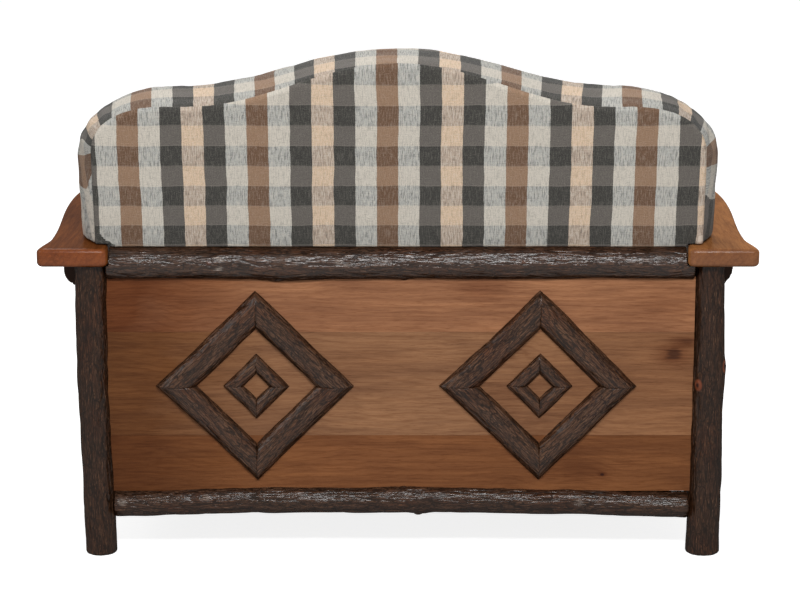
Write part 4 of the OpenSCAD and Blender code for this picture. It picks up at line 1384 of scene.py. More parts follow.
@dataclass
class Board:
    """A glued board with softened edges, as large as its node."""

    node: str
    finish: bpy.types.Material
    edge: float = 0.9 * MM

    def build(self) -> None:
        """Makes the board."""
        low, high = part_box(self.node)
        work = bmesh.new()
        bmesh.ops.create_cube(work, size=1)
        size, middle = high - low, (high + low) / 2
        for vert in work.verts:
            vert.co = Vector([middle[i] + vert.co[i] * size[i] for i in range(3)])
        edges = list(work.edges)
        bmesh.ops.bevel(work, geom=edges, offset=self.edge, segments=2, affect="EDGES", profile=0.6)
        mesh = bpy.data.meshes.new(self.node + "_board")
        work.to_mesh(mesh)
        work.free()
        mesh.materials.append(self.finish)
        piece = bpy.data.objects.new(mesh.name, mesh)
        bpy.context.collection.objects.link(piece)
        mount(piece, Body.FRAME, "panel_wood", self.node)


@dataclass
class PaddleArm:
    """A flat arm: a wide paddle in front, a waist, and a square rear end with rounded corners."""

    node: str
    side: int
    finish: bpy.types.Material
    rear_w: float = 138 * MM
    waist_w: float = 117 * MM
    front_w: float = 141 * MM
    skew: float = 8.5 * MM
    rear_shift: float = 2.5 * MM
    edge: float = 9 * MM
    face_inset: float = 1.5 * MM
    corner: float = 14 * MM
    front_power: float = 2.5
    waist_from_rear: float = 125 * MM
    wide_from_front: float = 225 * MM
    off_post: float = 24 * MM

    def outline(self) -> np.ndarray:
        """Plan of the arm round its own middle line, anticlockwise."""
        low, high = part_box(self.node)
        rear, front = high.y, low.y
        waist_y, wide_y = rear - self.waist_from_rear, front + self.wide_from_front
        y = np.linspace(wide_y, rear - self.corner, 60)

        def cosine(t: np.ndarray) -> np.ndarray:
            """A cosine step from 0 to 1."""
            return (1 - np.cos(math.pi * np.clip(t, 0, 1))) / 2

        to_rear = cosine((y - waist_y) / (rear - waist_y))
        to_waist = cosine((y - wide_y) / (waist_y - wide_y))
        back = self.waist_w + (self.rear_w - self.waist_w) * to_rear
        fore = self.front_w + (self.waist_w - self.front_w) * to_waist
        half = np.where(y > waist_y, back, fore) / 2
        middle = self.skew * (1 - to_waist) + self.rear_shift * to_rear
        outer = np.stack([middle + half, y], -1)
        inner = np.stack([middle - half, y], -1)[::-1]
        turn = np.radians(np.linspace(0, 90, 10)[1:])
        c, w, shift = self.corner, self.rear_w / 2, self.rear_shift
        corner_a = np.stack([shift + w - c + c * np.cos(turn), rear - c + c * np.sin(turn)], -1)
        corner_b = np.stack([shift - (w - c) - c * np.sin(turn), rear - c + c * np.cos(turn)], -1)
        sweep = np.radians(180 + np.linspace(0, 180, 60)[1:-1])
        p = 2 / self.front_power
        nose_x = self.skew + np.sign(np.cos(sweep)) * np.abs(np.cos(sweep)) ** p * self.front_w / 2
        nose_y = wide_y - np.abs(np.sin(sweep)) ** p * (wide_y - front)
        nose = np.stack([nose_x, nose_y], -1)
        start_b = np.array([[shift - (w - c), rear]])
        return np.concatenate([outer, corner_a, start_b, corner_b, inner[1:], nose])

    def build(self) -> None:
        """Makes the arm."""
        low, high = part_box(self.node)
        plan = self.outline()
        post_low, post_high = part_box("post_front_left")
        middle_x = self.off_post + (post_low.x + post_high.x) / 2
        step = np.roll(plan, -1, 0) - np.roll(plan, 1, 0)
        outward = np.stack([step[:, 1], -step[:, 0]], -1)
        outward /= np.linalg.norm(outward, axis=1)[:, None]
        e = self.edge
        turn = np.radians(np.linspace(0, 90, 8))
        rings = [(e * (1 - math.sin(t)), low.z + e * (1 - math.cos(t))) for t in turn]
        rings += [(e * (1 - math.cos(t)), high.z - e * (1 - math.sin(t))) for t in turn]
        rings = [(e + self.face_inset, low.z)] + rings + [(e + self.face_inset, high.z)]
        points = []
        for inset, z in rings:
            flat = plan - outward * inset
            x = self.side * (middle_x + flat[:, 0])
            points.append(np.column_stack([x, flat[:, 1], np.full(len(flat), z)]))
        face = np.arange(len(plan))
        top = face + len(plan) * (len(rings) - 1)
        faces = [*grid_faces(len(rings), len(plan), True), face[::-1], top]
        piece = new_piece(self.node + "_board", np.concatenate(points), faces, [self.finish])
        turn_faces_out(piece)
        mount(piece, Body.FRAME, "arm_wood", self.node)


# The padded back


@dataclass
class BackShape:
    """The camel-shaped outline of the back, in its own leaning frame.

    x runs across, v up the lean from the top of the rear rail, and f forward from the outside back.
    Pairs hold the value at the outside back and at the front edge of the band.
    """

    half_w: float = 591.5 * MM
    flare: float = 40.5 * MM
    shoulder: float = 286 * MM
    shoulder_flare: float = 11 * MM
    hump: float = 87 * MM
    depth: float = 112 * MM
    hump_reach: Tuple[float, float] = (0.684, 0.68)
    corner_reach: Tuple[float, float] = (0.752, 0.68)
    corner_rise: Tuple[float, float] = (0.664, 0.508)
    corner_power: Tuple[float, float] = (2.3, 2.0)
    lean: float = math.radians(11)
    right_spread: float = 4 * MM

    def __post_init__(self) -> None:
        """Reads the foot of the lean from the frame."""
        low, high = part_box("post_rear_left")
        self.foot_y = (low.y + high.y) / 2
        self.foot_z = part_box("arm_left")[0].z + 31 * MM
        self.arm_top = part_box("arm_left")[1].z
        self.arm_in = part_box("arm_left")[0].x

    def world(self, x: np.ndarray, v: np.ndarray, f: np.ndarray) -> np.ndarray:
        """Turns places of the leaning frame into the frame's metres.

        The cover is a little fuller behind the right arm than behind the left one.
        """
        x, v, f = np.broadcast_arrays(x, v, f)
        low = 1 - ease((v - 120 * MM) / (160 * MM))
        fuller = ease((-x - 480 * MM) / (110 * MM)) * np.clip(1 - f / self.depth, 0, 1)
        x = x - self.right_spread * fuller * (0.35 + 0.65 * low)
        y = self.foot_y + v * math.sin(self.lean) - f * math.cos(self.lean)
        z = self.foot_z + v * math.cos(self.lean) + f * math.sin(self.lean)
        return np.stack([x, y, z], -1)

    def over_arm(self, f: float) -> float:
        """Height up the lean, at depth f, of a level just over the arms."""
        return (self.arm_top + 0.8 * MM - self.foot_z - f * math.sin(self.lean)) / math.cos(self.lean)

    def half_outline(self, k: float, low: float, count: int) -> np.ndarray:
        """Right half of the outline from the arm to the middle of the hump.

        Args:
            k: 0 at the outside back and 1 at the front edge of the band.
            low: Height of the lower end.
            count: How many points, evenly spaced.

        Returns:
            Pairs of x and v.
        """
        w = self.half_w + self.flare * k
        top = self.shoulder + self.shoulder_flare * k
        hump = self.hump - self.shoulder_flare * k
        pairs = (self.hump_reach, self.corner_reach, self.corner_rise, self.corner_power)
        hump_x, cx, cv, power = [rear + (front - rear) * k for rear, front in pairs]
        hump_x, cx, cv, power = hump_x * w, cx * w, cv * top, 2 / power
        v = np.linspace(low, cv, 60)
        side = np.stack([w - 4 * MM * k * (1 - (v - low) / (cv - low)) ** 2, v], -1)
        t = np.linspace(0, math.pi / 2, 120)[1:]
        turn = np.stack([cx + (w - cx) * np.cos(t) ** power, cv + (top - cv) * np.sin(t) ** power], -1)
        x = np.linspace(cx, 0, 160)[1:]
        rise = np.where(x < hump_x, (1 + np.cos(math.pi * x / hump_x)) / 2, 0)
        crest = np.stack([x, top + hump * rise], -1)
        line = np.concatenate([side, turn, crest])
        step = np.linalg.norm(np.diff(line, axis=0), axis=1)
        run = np.concatenate([[0], np.cumsum(step)])
        at = np.linspace(0, run[-1], count)
        return np.stack([np.interp(at, run, line[:, 0]), np.interp(at, run, line[:, 1])], -1)

    def outline(self, k: float, low: float, count: int) -> np.ndarray:
        """Whole outline from the left arm over the hump to the right arm."""
        half = self.half_outline(k, low, count)
        other = half[-2::-1] * np.array([-1, 1])
        return np.concatenate([half, other])


def outward_of(line: np.ndarray) -> np.ndarray:
    """Outward directions of an open outline that runs from +x over the top to -x."""
    step = np.gradient(line, axis=0)
    out = np.stack([step[:, 1], -step[:, 0]], -1)
    return out / np.linalg.norm(out, axis=1)[:, None]


@dataclass
class OutsideBack:
    """The flat plaid panel behind the back, rolled over its edges to the seam."""

    shape: BackShape
    finish: bpy.types.Material
    roll: float = 7 * MM
    roll_depth: float = 6.5 * MM
    pillow: float = 2.5 * MM
    left_tuck: float = 44 * MM
    right_tuck: float = 14 * MM
    side_margin: float = 27 * MM
    low_margin: float = 9 * MM
    margins: float = 35 * MM
    near_edge: Tuple[float, ...] = (0, 0.5, 1.2, 2.2, 3.5, 5, 7, 9.5, 13, 17, 21.5)

    def tuck(self, x: np.ndarray, lower: np.ndarray) -> Tuple[np.ndarray, np.ndarray]:
        """The cover's edge where it is folded in along the top of each arm.

        Args:
            x: Places across.
            lower: Height over the arm or the rail.

        Returns:
            How far each place belongs to the fold, from 0 to 1, and its place across the stripes.
        """
        w = self.shape.half_w
        left = ease((x - (w - self.left_tuck)) / (9 * MM))
        right = ease((-x - (w - self.right_tuck)) / (6 * MM))
        reach = 9 * MM + 12 * MM * ease((np.abs(x) - w + 22 * MM) / (16 * MM))
        fold = ease((reach - lower) / (3 * MM))
        stripe_left = 589 * MM + np.clip(x - (w - self.left_tuck), 0, 1) * 0.5
        stripe_right = -590 * MM + 0 * x
        return np.maximum(left, right) * fold, np.where(x > 0, stripe_left, stripe_right)

    def columns(self) -> np.ndarray:
        """Places across, closer together near the two sides and beside the arms."""
        w = self.shape.half_w
        near = np.array(self.near_edge) * MM
        right = np.concatenate([w - near, np.linspace(w - self.side_margin, 0, 108)])
        return np.concatenate([right, -right[-2::-1]])

    def rows(self, x: np.ndarray, low: np.ndarray) -> np.ndarray:
        """Heights up the lean of each column's points, closer together at its two ends.

        Args:
            x: Places of the columns.
            low: Height of each column's foot.

        Returns:
            A row of heights for each column.
        """
        shape = self.shape
        edge = shape.half_outline(0, shape.over_arm(0), 900)
        upper = edge[np.argmax(edge[:, 1] > 0.6 * shape.shoulder):]
        top = np.interp(np.abs(x), upper[::-1, 0], upper[::-1, 1])
        top = np.where(np.abs(x) > upper[0, 0], upper[0, 1], top)
        near = np.array(self.near_edge) * MM
        body = np.linspace(0, 1, 60)
        columns = []
        for foot, head in zip(low, top):
            between = foot + self.low_margin + (head - foot - self.margins) * body
            columns.append(np.concatenate([foot + near[:7] * 0.7, between, (head - near)[::-1]]))
        return np.stack(columns)

    def build(self) -> None:
        """Makes the panel."""
        shape = self.shape
        x = self.columns()
        over_arm = np.abs(x) > shape.arm_in - 1.5 * MM
        low = np.where(over_arm, shape.over_arm(0) + 1.0 * MM, 1.2 * MM)
        v = self.rows(x, low)
        xx = np.broadcast_to(x[:, None], v.shape)
        full = shape.outline(0, shape.over_arm(0) - 40 * MM, 1200)
        away = np.full(v.shape, 0.4)
        for part in np.array_split(full, 12):
            gap = np.hypot(xx[..., None] - part[:, 0], v[..., None] - part[:, 1]).min(-1)
            away = np.minimum(away, gap)
        lower = v - low[:, None]
        f = self.roll_depth * roll_off(np.clip(1 - away / self.roll, 0, 1))
        f = f + 4 * MM * roll_off(np.clip(1 - lower / (4 * MM), 0, 1))
        f = f - self.pillow * (1 - np.exp(-away / (45 * MM))) * (1 - np.exp(-lower / (30 * MM)))
        ripple = value_noise(xx / (55 * MM) + 40, v / (80 * MM), 60, 5) - 0.5
        f = f + ripple * 1.2 * MM
        fold, fold_u = self.tuck(xx, lower)
        f = f - 3 * MM * fold * np.exp(-((lower / (14 * MM)) ** 2)) * ease(lower / (3 * MM))
        points = shape.world(xx, v, f)
        faces = grid_faces(v.shape[0], v.shape[1])
        piece = new_piece("outside_back_cloth", points.reshape(-1, 3), faces, [self.finish])
        u = points[..., 0] + (fold_u - points[..., 0]) * fold
        mark(piece, "cloth_place", np.stack([u, v, np.zeros_like(v)], -1).reshape(-1, 3))
        thicken(piece, 1.6 * MM)
        mount(piece, Body.FRAME, "plaid_cloth", "outside_back")


def thicken(piece: bpy.types.Object, thick: float) -> None:
    """Gives an open sheet its thickness, behind its outer face."""
    solid = piece.modifiers.new("thickness", "SOLIDIFY")
    solid.thickness = thick
    solid.offset = -1


@dataclass
class ClothBand:
    """The padded band between the outside back and the inside back.

    The stations give, in millimetres, how far along the cloth (second number) lies at a place along
    the seam (first number), from the middle of the hump down one side. The cloth is gathered at
    the shoulders and runs askew down the sides.
    """

    shape: BackShape
    finish: bpy.types.Material
    bulge: Table = (
        (-960, 5), (-700, 4), (-590, 2), (-400, 3.5), (0, 3.5), (400, 4), (570, 3.5), (640, 7), (960, 8),
    )
    seam: float = 3 * MM
    left_rear: Table = (
        (0, -2), (322, 332), (564, 582), (592, 624), (626, 666), (640, 707), (652, 748), (690, 790),
        (960, 830),
    )
    left_front: Table = (
        (0, -2), (325, 332), (572, 582), (612, 624), (655, 666), (682, 707), (706, 748), (768, 790),
        (960, 826),
    )
    right_rear: Table = (
        (0, 2), (362, 374), (518, 541), (551, 583), (578, 625), (606, 666), (640, 708), (681, 749),
        (740, 791), (960, 872),
    )
    right_front: Table = (
        (0, 2), (368, 374), (521, 541), (557, 583), (595, 625), (625, 666), (674, 708), (727, 749),
        (800, 791), (960, 862),
    )
    row_line: Table = ((0, 4), (250, 28), (400, 44), (560, 44), (700, 34), (960, 30))
    pleats: Sequence[Tuple[float, float, float]] = (
        (572, 9, 1.6), (604, 8, 2.0), (640, 9, 2.4), (676, 12, 2.0), (-566, 9, 1.6), (-598, 8, 2.0),
        (-640, 10, 2.4), (-690, 14, 2.0), (-770, 18, 1.6), (800, 22, 1.6), (262, 16, 1.0),
        (-300, 16, 1.0),
    )
    pleat_slant: float = 14 * MM
    askew: float = 0.45
    along: int = 560
    across: int = 36

    def along_cloth(self, run: np.ndarray, share: float) -> np.ndarray:
        """Place along the cloth, positive towards the left.

        Args:
            run: Place along the seam, positive towards the left.
            share: 0 at the rear seam and 1 at the front seam.

        Returns:
            The place in metres.
        """
        out = np.empty_like(run)
        sides = ((1, self.left_rear, self.left_front), (-1, self.right_rear, self.right_front))
        for side, rear, front in sides:
            here = run * side >= 0
            at = np.abs(run[here]) / MM
            ends = [np.interp(at, *np.array(table, float).T) for table in (rear, front)]
            out[here] = side * ((1 - share) * ends[0] + share * ends[1]) * MM
        return out

    def swell(self, run: np.ndarray, t: float) -> np.ndarray:
        """How far the cloth stands out from the back's outline.

        Args:
            run: Place along the seam, positive towards the left.
            t: 0 at the rear seam and 1 at the front seam.

        Returns:
            The distance in metres.
        """
        middle = math.sin(math.pi * t)
        out = stations(run / MM, self.bulge) * MM * middle ** 0.6
        out = out - self.seam * (math.exp(-t * 24) + math.exp(-(1 - t) * 24))
        sag = value_noise(run / (55 * MM) + 60, np.full_like(run, t * 3), 90, 9) - 0.5
        gather = value_noise(run / (13 * MM) + 200, np.full_like(run, t * 2), 400, 12) - 0.5
        at_seam = math.exp(-t * 8) + math.exp(-(1 - t) * 8)
        out = out + sag * 3 * MM + gather * 1.4 * MM * at_seam
        slant = (t - 0.5) * self.pleat_slant
        for place, width, depth in self.pleats:
            fold = np.exp(-(((run - place * MM - slant) / (width * MM)) ** 2))
            crest = np.exp(-(((run - (place + 1.7 * width) * MM - slant) / (width * MM)) ** 2))
            out = out - depth * MM * fold * (0.35 + 0.65 * middle)
            out = out + 0.5 * depth * MM * crest * middle
        return out

    def build(self) -> None:
        """Makes the band."""
        shape = self.shape
        f_rear, f_front = 6.5 * MM, shape.depth - 1 * MM
        rim = np.linspace(0, math.pi, self.across)
        share = list((1 - np.cos(rim)) / 2) + [1.0, 1.0]
        turned_in = [0.0] * self.across + [7 * MM, 16 * MM]
        points, cloth = [], []
        for t, inward in zip(share, turned_in):
            f = f_rear + (f_front - f_rear) * t + 0.15 * inward
            low = shape.over_arm(f) + 1.2 * MM
            line = shape.outline(f / shape.depth, low, self.along)
            out = outward_of(line)
            run = np.concatenate([[0], np.cumsum(np.linalg.norm(np.diff(line, axis=0), axis=1))])
            run = run[self.along - 1] - run
            foot = np.clip(1 - (line[:, 1] - low) / (7 * MM), 0, 1)
            swell = self.swell(run, t) - 7 * MM * roll_off(foot)
            place = line + out * (swell - inward)[:, None]
            place[:, 1] = np.maximum(place[:, 1], low)
            points.append(shape.world(place[:, 0], place[:, 1], f))
            u = self.along_cloth(run, t)
            line_at = np.interp(np.abs(run) / MM, *np.array(self.row_line, float).T) * MM
            v = 47 * MM + f - line_at + self.askew * np.maximum(np.abs(run) - 0.7, 0)
            cloth.append(np.stack([u, v, np.zeros_like(u)], -1))
        points, cloth = np.stack(points), np.stack(cloth)
        faces = grid_faces(*points.shape[:2])
        piece = new_piece("back_band_cloth", points.reshape(-1, 3), faces, [self.finish])
        mark(piece, "cloth_place", cloth.reshape(-1, 3))
        turn_outward(piece, np.array([0, shape.foot_y, shape.foot_z]))
        thicken(piece, 1.8 * MM)
        mount(piece, Body.FRAME, "plaid_cloth", "back_band")


def turn_outward(piece: bpy.types.Object, inside: np.ndarray) -> None:
    """Flips a sheet's faces if they look towards a point inside the piece."""
    points, normals = points_of(piece), normals_of(piece)
    if ((points - inside) * normals).sum() < 0:
        piece.data.flip_normals()


# Padding that is swollen by simulated cloth


def nowhere(points: np.ndarray) -> np.ndarray:
    """Says that no point is held."""
    return np.zeros(len(points), bool)


@dataclass
class Stuffing:
    """How a pad is remeshed, swollen under its cloth and held back."""

    voxel: float = 9 * MM
    shrink: float = 4 * MM
    held_shrink: float = 0.3 * MM
    pressure: float = 5.0
    most: float = 8 * MM
    frames: int = 20
    stiffness: float = 12.0

    def swell(self, piece: bpy.types.Object, held: PointRule = nowhere) -> None:
        """Runs the cloth under pressure and keeps the result on the mesh.

        Args:
            piece: The pad, closed, at its place.
            held: Says which points stay put, from their places.
        """
        remesh = piece.modifiers.new("even", "REMESH")
        remesh.mode = "VOXEL"
        remesh.voxel_size = self.voxel
        apply_modifiers(piece)
        rest = points_of(piece)
        tight = np.where(held(rest), self.held_shrink, self.shrink)
        move_points(piece, rest - normals_of(piece) * tight[:, None])
        smooth_points(piece, 3)
        rest = points_of(piece)
        self.simulate(piece, np.nonzero(held(rest))[0])
        moved = points_of(piece) - rest
        far = np.linalg.norm(moved, axis=1)
        soft = self.most * np.tanh(far / self.most)
        move_points(piece, rest + moved * (soft / np.maximum(far, 1e-9))[:, None])

    def simulate(self, piece: bpy.types.Object, pinned: np.ndarray) -> None:
        """Runs the cloth for its frames and applies it.

        Args:
            piece: The pad.
            pinned: Numbers of the points that stay put.
        """
        cloth = piece.modifiers.new("cloth", "CLOTH")
        s = cloth.settings
        s.quality = 4
        s.mass = 0.35
        s.tension_stiffness = s.compression_stiffness = self.stiffness
        s.shear_stiffness = 4
        s.bending_stiffness = 0.6
        s.air_damping = 4
        s.use_pressure = True
        s.uniform_pressure_force = self.pressure
        s.effector_weights.gravity = 0
        if len(pinned):
            pins = piece.vertex_groups.new(name="held")
            pins.add([int(i) for i in pinned], 1.0, "ADD")
            s.vertex_group_mass = pins.name
        cloth.collision_settings.use_collision = False
        cloth.point_cache.frame_start = 1
        cloth.point_cache.frame_end = self.frames
        for number in range(1, self.frames + 1):
            bpy.context.scene.frame_set(number)
        apply_modifiers(piece)
        bpy.context.scene.frame_set(1)


def apply_modifiers(piece: bpy.types.Object) -> None:
    """Puts the result of a piece's modifiers into its mesh."""
    graph = bpy.context.evaluated_depsgraph_get()
    graph.update()
    made = bpy.data.meshes.new_from_object(piece.evaluated_get(graph))
    old = piece.data
    made.name = old.name
    piece.modifiers.clear()
    piece.data = made
    bpy.data.meshes.remove(old)


def smooth_points(piece: bpy.types.Object, times: int) -> None:
    """Evens out the points of a mesh."""
    points = points_of(piece)
    ends = np.empty(len(piece.data.edges) * 2, np.int32)
    piece.data.edges.foreach_get("vertices", ends)
    a, b = ends.reshape(-1, 2).T
    count = np.bincount(a, minlength=len(points)) + np.bincount(b, minlength=len(points))
    for _ in range(times):
        total = np.zeros_like(points)
        np.add.at(total, a, points[b])
        np.add.at(total, b, points[a])
        points = 0.4 * points + 0.6 * total / count[:, None]
    move_points(piece, points)


def copy_of_node(node: str, name: str, finish: bpy.types.Material) -> bpy.types.Object:
    """Copies a node of the frame as the start of a soft piece."""
    mesh = frame["nodes"][node].data.copy()
    mesh.materials.clear()
    mesh.materials.append(finish)
    piece = bpy.data.objects.new(name, mesh)
    piece.matrix_world = frame["nodes"][node].matrix_world
    bpy.context.collection.objects.link(piece)
    mesh.transform(piece.matrix_world)
    piece.matrix_world.identity()
    work = bmesh.new()
    work.from_mesh(mesh)
    bmesh.ops.remove_doubles(work, verts=work.verts, dist=0.01 * MM)
    work.to_mesh(mesh)
    work.free()
    return piece


def subdivide(piece: bpy.types.Object) -> None:
    """Adds one smooth subdivision to a mesh."""
    finer = piece.modifiers.new("finer", "SUBSURF")
    finer.levels = finer.render_levels = 1
    apply_modifiers(piece)
    piece.data.shade_smooth()


@dataclass
class SeatCushion:
    """A loose boxed seat cushion: crowned panels and a strip round the side, joined by two seams."""

    node: str
    body: Body
    finish: bpy.types.Material
    seam_depth: float = 3.2 * MM
    seam_width: float = 4.5 * MM
    top_panel: float = 27 * MM
    bottom_panel: float = 9 * MM

    def build(self) -> None:
        """Makes the cushion."""
        low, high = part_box(self.node)
        piece = copy_of_node(self.node, self.node + "_cover", self.finish)
        Stuffing(voxel=8 * MM, shrink=3.5 * MM, most=6 * MM).swell(piece)
        subdivide(piece)
        points, normals = points_of(piece), normals_of(piece)
        middle = np.array((low + high) / 2)
        size = np.array(high - low) / 2
        top_seam, low_seam = high.z - self.top_panel, low.z + self.bottom_panel
        side_on = np.max(np.abs((points - middle)[:, :2]) / size[:2], axis=1)
        sideways = ease((np.linalg.norm(normals[:, :2], axis=1) - 0.3) / 0.3) * (side_on > 0.8)
        for height in (top_seam, low_seam):
            near = np.exp(-(((points[:, 2] - height) / self.seam_width) ** 2)) * sideways
            points = points - normals * (near * self.seam_depth)[:, None]
        around = np.arctan2(points[:, 1] - middle[1], points[:, 0] - middle[0])
        ripple = value_noise(around / (2 * math.pi) * 70 + 70, points[:, 2] / (60 * MM), 140, 4) - 0.5
        points = points + normals * (ripple * 1.6 * MM * sideways)[:, None]
        points[:, 2] = np.maximum(points[:, 2], low.z + 0.2 * MM)
        move_points(piece, points)
        mark_box_cloth(piece, middle, (top_seam, low_seam))
        mount(piece, self.body, "plaid_cloth", self.node)


def mark_box_cloth(piece: bpy.types.Object, middle: np.ndarray, seams: Tuple[float, float]) -> None:
    """Lays the plaid on a boxed cushion, panel by panel, cut at its seams.

    Args:
        piece: The cushion.
        middle: Its middle.
        seams: Height of the upper and of the lower seam.
    """
    mesh = piece.data
    centres, normals = vectors(mesh.polygons, "center"), vectors(mesh.polygons, "normal")
    corners, sizes = np.empty(len(mesh.loops), np.int32), np.empty(len(centres), np.int32)
    mesh.loops.foreach_get("vertex_index", corners)
    mesh.polygons.foreach_get("loop_total", sizes)
    owner = np.repeat(np.arange(len(centres)), sizes)
    points = points_of(piece)[corners]
    flat = (centres[:, 2] > seams[0]) | (centres[:, 2] < seams[1])
    facing_x = np.abs(normals[:, 0]) > np.abs(normals[:, 1])
    flat, facing_x = flat[owner], facing_x[owner]
    u = np.where(flat | ~facing_x, points[:, 0] - middle[0] + 23 * MM, points[:, 1])
    v = np.where(flat, points[:, 1], points[:, 2])
    mark(piece, "cloth_place", np.stack([u, v, np.zeros_like(u)], -1), corners=True)


@dataclass
class InsideBack:
    """The padded front of the back: wings over the arms and a crowned face."""

    shape: BackShape
    finish: bpy.types.Material
    wing_edge: float = 3 * MM

    def build(self) -> None:
        """Makes the padding."""
        shape = self.shape
        piece = copy_of_node("back_padding", "inside_back_cover", self.finish)
        sin, cos = math.sin(shape.lean), math.cos(shape.lean)

        def depth(points: np.ndarray) -> np.ndarray:
            """Depth of each point in front of the outside back."""
            return -(points[:, 1] - shape.foot_y) * cos + (points[:, 2] - shape.foot_z) * sin

        Stuffing().swell(piece, lambda p: depth(p) < shape.depth + self.wing_edge)
        subdivide(piece)
        points, normals = points_of(piece), normals_of(piece)
        up = (points[:, 1] - shape.foot_y) * sin + (points[:, 2] - shape.foot_z) * cos
        ripple = value_noise(points[:, 0] / (90 * MM) + 30, up / (120 * MM) + 5, 60, 8) - 0.5
        facing = ease((depth(points) - shape.depth) / (20 * MM))
        points = points + normals * (ripple * 2.5 * MM * facing)[:, None]
        move_points(piece, points)
        mark(piece, "cloth_place", np.stack([points[:, 0], up, np.zeros_like(up)], -1))
        mount(piece, Body.FRAME, "plaid_cloth", "back_padding")


@dataclass
class DeckPad:
    """The thin pad over the webbing, with a soft edge and shallow quilting."""

    finish: bpy.types.Material
    edge: float = 8 * MM
    quilt: float = 95 * MM
    quilt_depth: float = 1.6 * MM

    def build(self) -> None:
        """Makes the pad."""
        low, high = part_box("deck_pad")
        x = np.linspace(low.x, high.x, 150)
        y = np.linspace(low.y, high.y, 80)
        xx, yy = np.meshgrid(x, y, indexing="ij")
        rim = np.minimum(np.minimum(xx - low.x, high.x - xx), np.minimum(yy - low.y, high.y - yy))
        thick = high.z - low.z
        round_edge = thick * 0.45 * roll_off(np.clip(1 - rim / self.edge, 0, 1))
        one, other = [np.sin(math.pi * place / self.quilt) for place in (xx + yy, xx - yy)]
        quilt = np.abs(one * other) ** 0.4
        upper = high.z - 0.2 * MM - round_edge - self.quilt_depth * (1 - quilt)
        lower = np.full_like(upper, low.z) + round_edge * 0.6
        top = np.stack([xx, yy, upper], -1).reshape(-1, 3)
        bottom = np.stack([xx, yy, lower], -1).reshape(-1, 3)
        rows, cols = xx.shape
        n = rows * cols
        quads = grid_faces(rows, cols)
        faces = [*quads[:, ::-1], *(quads + n)]
        at = np.arange(n).reshape(rows, cols)
        border = np.concatenate([at[:, 0], at[-1, 1:], at[-2::-1, -1], at[0, -2:0:-1]])
        faces += [[a, b, b + n, a + n] for a, b in zip(border, np.roll(border, -1))]
        piece = new_piece("deck_pad_cover", np.concatenate([top, bottom]), faces, [self.finish])
        turn_faces_out(piece)
        mount(piece, Body.FRAME, "deck_cloth", "deck_pad")


# Camera, light and floor


def seen_straight(nodes: bpy.types.Nodes, links: bpy.types.NodeLinks) -> Socket:
    """1 where the camera looks straight, by a reflection or through glass, and 0 for other light."""
    path = nodes.new("ShaderNodeLightPath")
    seen = path.outputs["Is Camera Ray"]
    for ray in ("Is Glossy Ray", "Is Transmission Ray"):
        either = nodes.new("ShaderNodeMath")
        either.operation = "MAXIMUM"
        links.new(seen, either.inputs[0])
        links.new(path.outputs[ray], either.inputs[1])
        seen = either.outputs[0]
    return seen


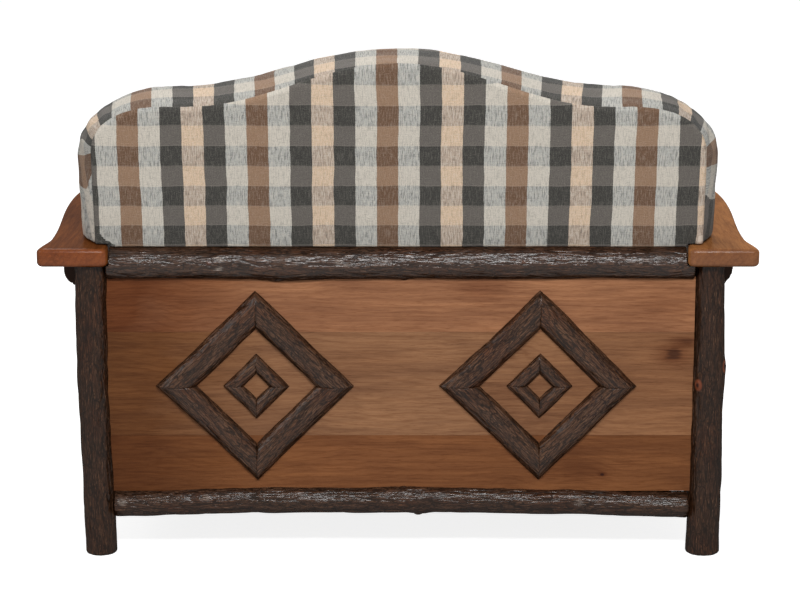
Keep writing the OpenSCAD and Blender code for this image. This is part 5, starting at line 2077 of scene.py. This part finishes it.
@dataclass
class Studio:
    """Camera at the photograph's viewing angle, soft lamps and a pale floor."""

    eye: Tuple[float, float, float] = (0.0, 5.0654, 1.5196)
    tilt_down: float = 12.0
    focal: float = 110.43
    shift_x: float = 0.0025
    key: float = 204.0
    fill: float = 36.0
    ambient: float = 0.32
    floor_glow: float = 0.85
    backdrop: Colour = (1.0, 1.0, 1.0, 1.0)

    def camera(self) -> None:
        """Places the camera."""
        data = bpy.data.cameras.new("camera")
        data.lens = self.focal
        data.sensor_width = 36
        data.shift_x = self.shift_x
        data.clip_end = 50
        data.dof.use_dof = False
        camera = bpy.data.objects.new("camera", data)
        camera.location = self.eye
        camera.rotation_euler = (math.radians(90 - self.tilt_down), 0, math.pi)
        bpy.context.collection.objects.link(camera)
        bpy.context.scene.camera = camera

    def lamp(
        self, name: str, place: Sequence[float], target: Sequence[float], size: Tuple[float, float],
        power: float,
    ) -> None:
        """Adds a soft lamp.

        Args:
            name: The lamp's name.
            place: Where it stands.
            target: What it points at.
            size: Width and height of its face.
            power: Its power in watts.
        """
        data = bpy.data.lights.new(name, "AREA")
        data.energy = power
        data.shape = "RECTANGLE"
        data.size, data.size_y = size
        lamp = bpy.data.objects.new(name, data)
        lamp.location = place
        aim = Vector(target) - Vector(place)
        lamp.rotation_euler = aim.to_track_quat("-Z", "Y").to_euler()
        bpy.context.collection.objects.link(lamp)

    def floor(self) -> None:
        """Lays the floor, which shows white to the camera and keeps the sofa's shadow."""
        half = 30.0
        corners = np.array([[-half, -half, 0], [half, -half, 0], [half, half, 0], [-half, half, 0]])
        s = Shader("floor_paper")
        s.dress(Base_Color=(0.45, 0.45, 0.45, 1), Roughness=0.9, Specular_IOR_Level=0.1)
        glow = s.sum("MULTIPLY", seen_straight(s.nodes, s.links), self.floor_glow)
        s.dress(Emission_Color=(1, 1, 1, 1), Emission_Strength=glow)
        piece = new_piece("floor", corners, [[0, 1, 2, 3]], [s.material])

    def world(self) -> None:
        """Sets an even pale surround."""
        world = bpy.data.worlds.new("surround")
        bpy.context.scene.world = world
        world.use_nodes = True
        nodes, links = world.node_tree.nodes, world.node_tree.links
        nodes.clear()
        output = nodes.new("ShaderNodeOutputWorld")
        mix = nodes.new("ShaderNodeMixShader")
        for number, strength in ((1, self.ambient), (2, 1.0)):
            light = nodes.new("ShaderNodeBackground")
            light.inputs["Color"].default_value = self.backdrop
            light.inputs["Strength"].default_value = strength
            links.new(light.outputs[0], mix.inputs[number])
        links.new(seen_straight(nodes, links), mix.inputs[0])
        links.new(mix.outputs[0], output.inputs["Surface"])

    def build(self) -> None:
        """Sets up everything."""
        self.camera()
        self.lamp("key_lamp", (-0.3, 4.0, 3.3), (0, 0.3, 0.55), (2.6, 0.6), self.key)
        self.lamp("side_lamp", (4.2, 1.5, 2.6), (0, 0, 0.5), (1.6, 1.6), self.fill)
        self.lamp("front_lamp", (0.6, -3.2, 4.4), (0, 0, 0.5), (2.4, 1.2), self.key * 0.78)
        self.floor()
        self.world()
        bpy.context.scene.view_settings.view_transform = "Standard"


@dataclass
class HiddenFrame:
    """The seat box, back frame and fasteners, which keep the frame's own shapes."""

    finishes: Finishes

    def dress(self) -> None:
        """Gives every node that nothing stands for the finish of its slot."""
        slots = {p["node"]: p["material_slot"] for p in frame["record"]["subparts"]}
        for node, piece in frame["nodes"].items():
            finish = self.finishes.by_slot[slots[node]]
            if node == "front_panel":
                finish = self.finishes.front_panel
            piece.data.materials.clear()
            piece.data.materials.append(finish)
            for slot in piece.material_slots:
                slot.material = finish


def main() -> None:
    """Builds the loveseat's pieces in order."""
    logging.basicConfig(level=logging.INFO, format="%(name)s %(message)s")
    finishes = Finishes()
    Studio().build()
    HiddenFrame(finishes).dress()
    LogFrame(finishes).build()
    for node, finish in finishes.panels.items():
        Board(node, finish).build()
    rear, left, right = Vector((0, 1, 0)), Vector((1, 0, 0)), Vector((-1, 0, 0))
    bark = finishes.diamond_bark
    for place, facing, seed, reach in (
        ("rear_left", rear, 3, 7 * MM), ("rear_right", rear, 5, 7 * MM),
        ("side_left", left, 7, 0.0), ("side_right", right, 9, 0.0),
    ):
        HalfLogDiamond(place + "_large_diamond", facing, seed, bark, left_reach=reach).build()
        HalfLogDiamond(place + "_small_diamond", facing, seed + 20, bark, log_w=29 * MM).build()
    PaddleArm("arm_left", 1, finishes.arms["arm_left"]).build()
    PaddleArm("arm_right", -1, finishes.arms["arm_right"]).build()
    shape = BackShape()
    OutsideBack(shape, finishes.plaid).build()
    ClothBand(shape, finishes.plaid).build()
    InsideBack(shape, finishes.plaid).build()
    DeckPad(finishes.by_slot["deck_cloth"]).build()
    SeatCushion("seat_cushion_left", Body.CUSHION_LEFT, finishes.plaid).build()
    SeatCushion("seat_cushion_right", Body.CUSHION_RIGHT, finishes.plaid).build()


if __name__ == "__main__":
    main()
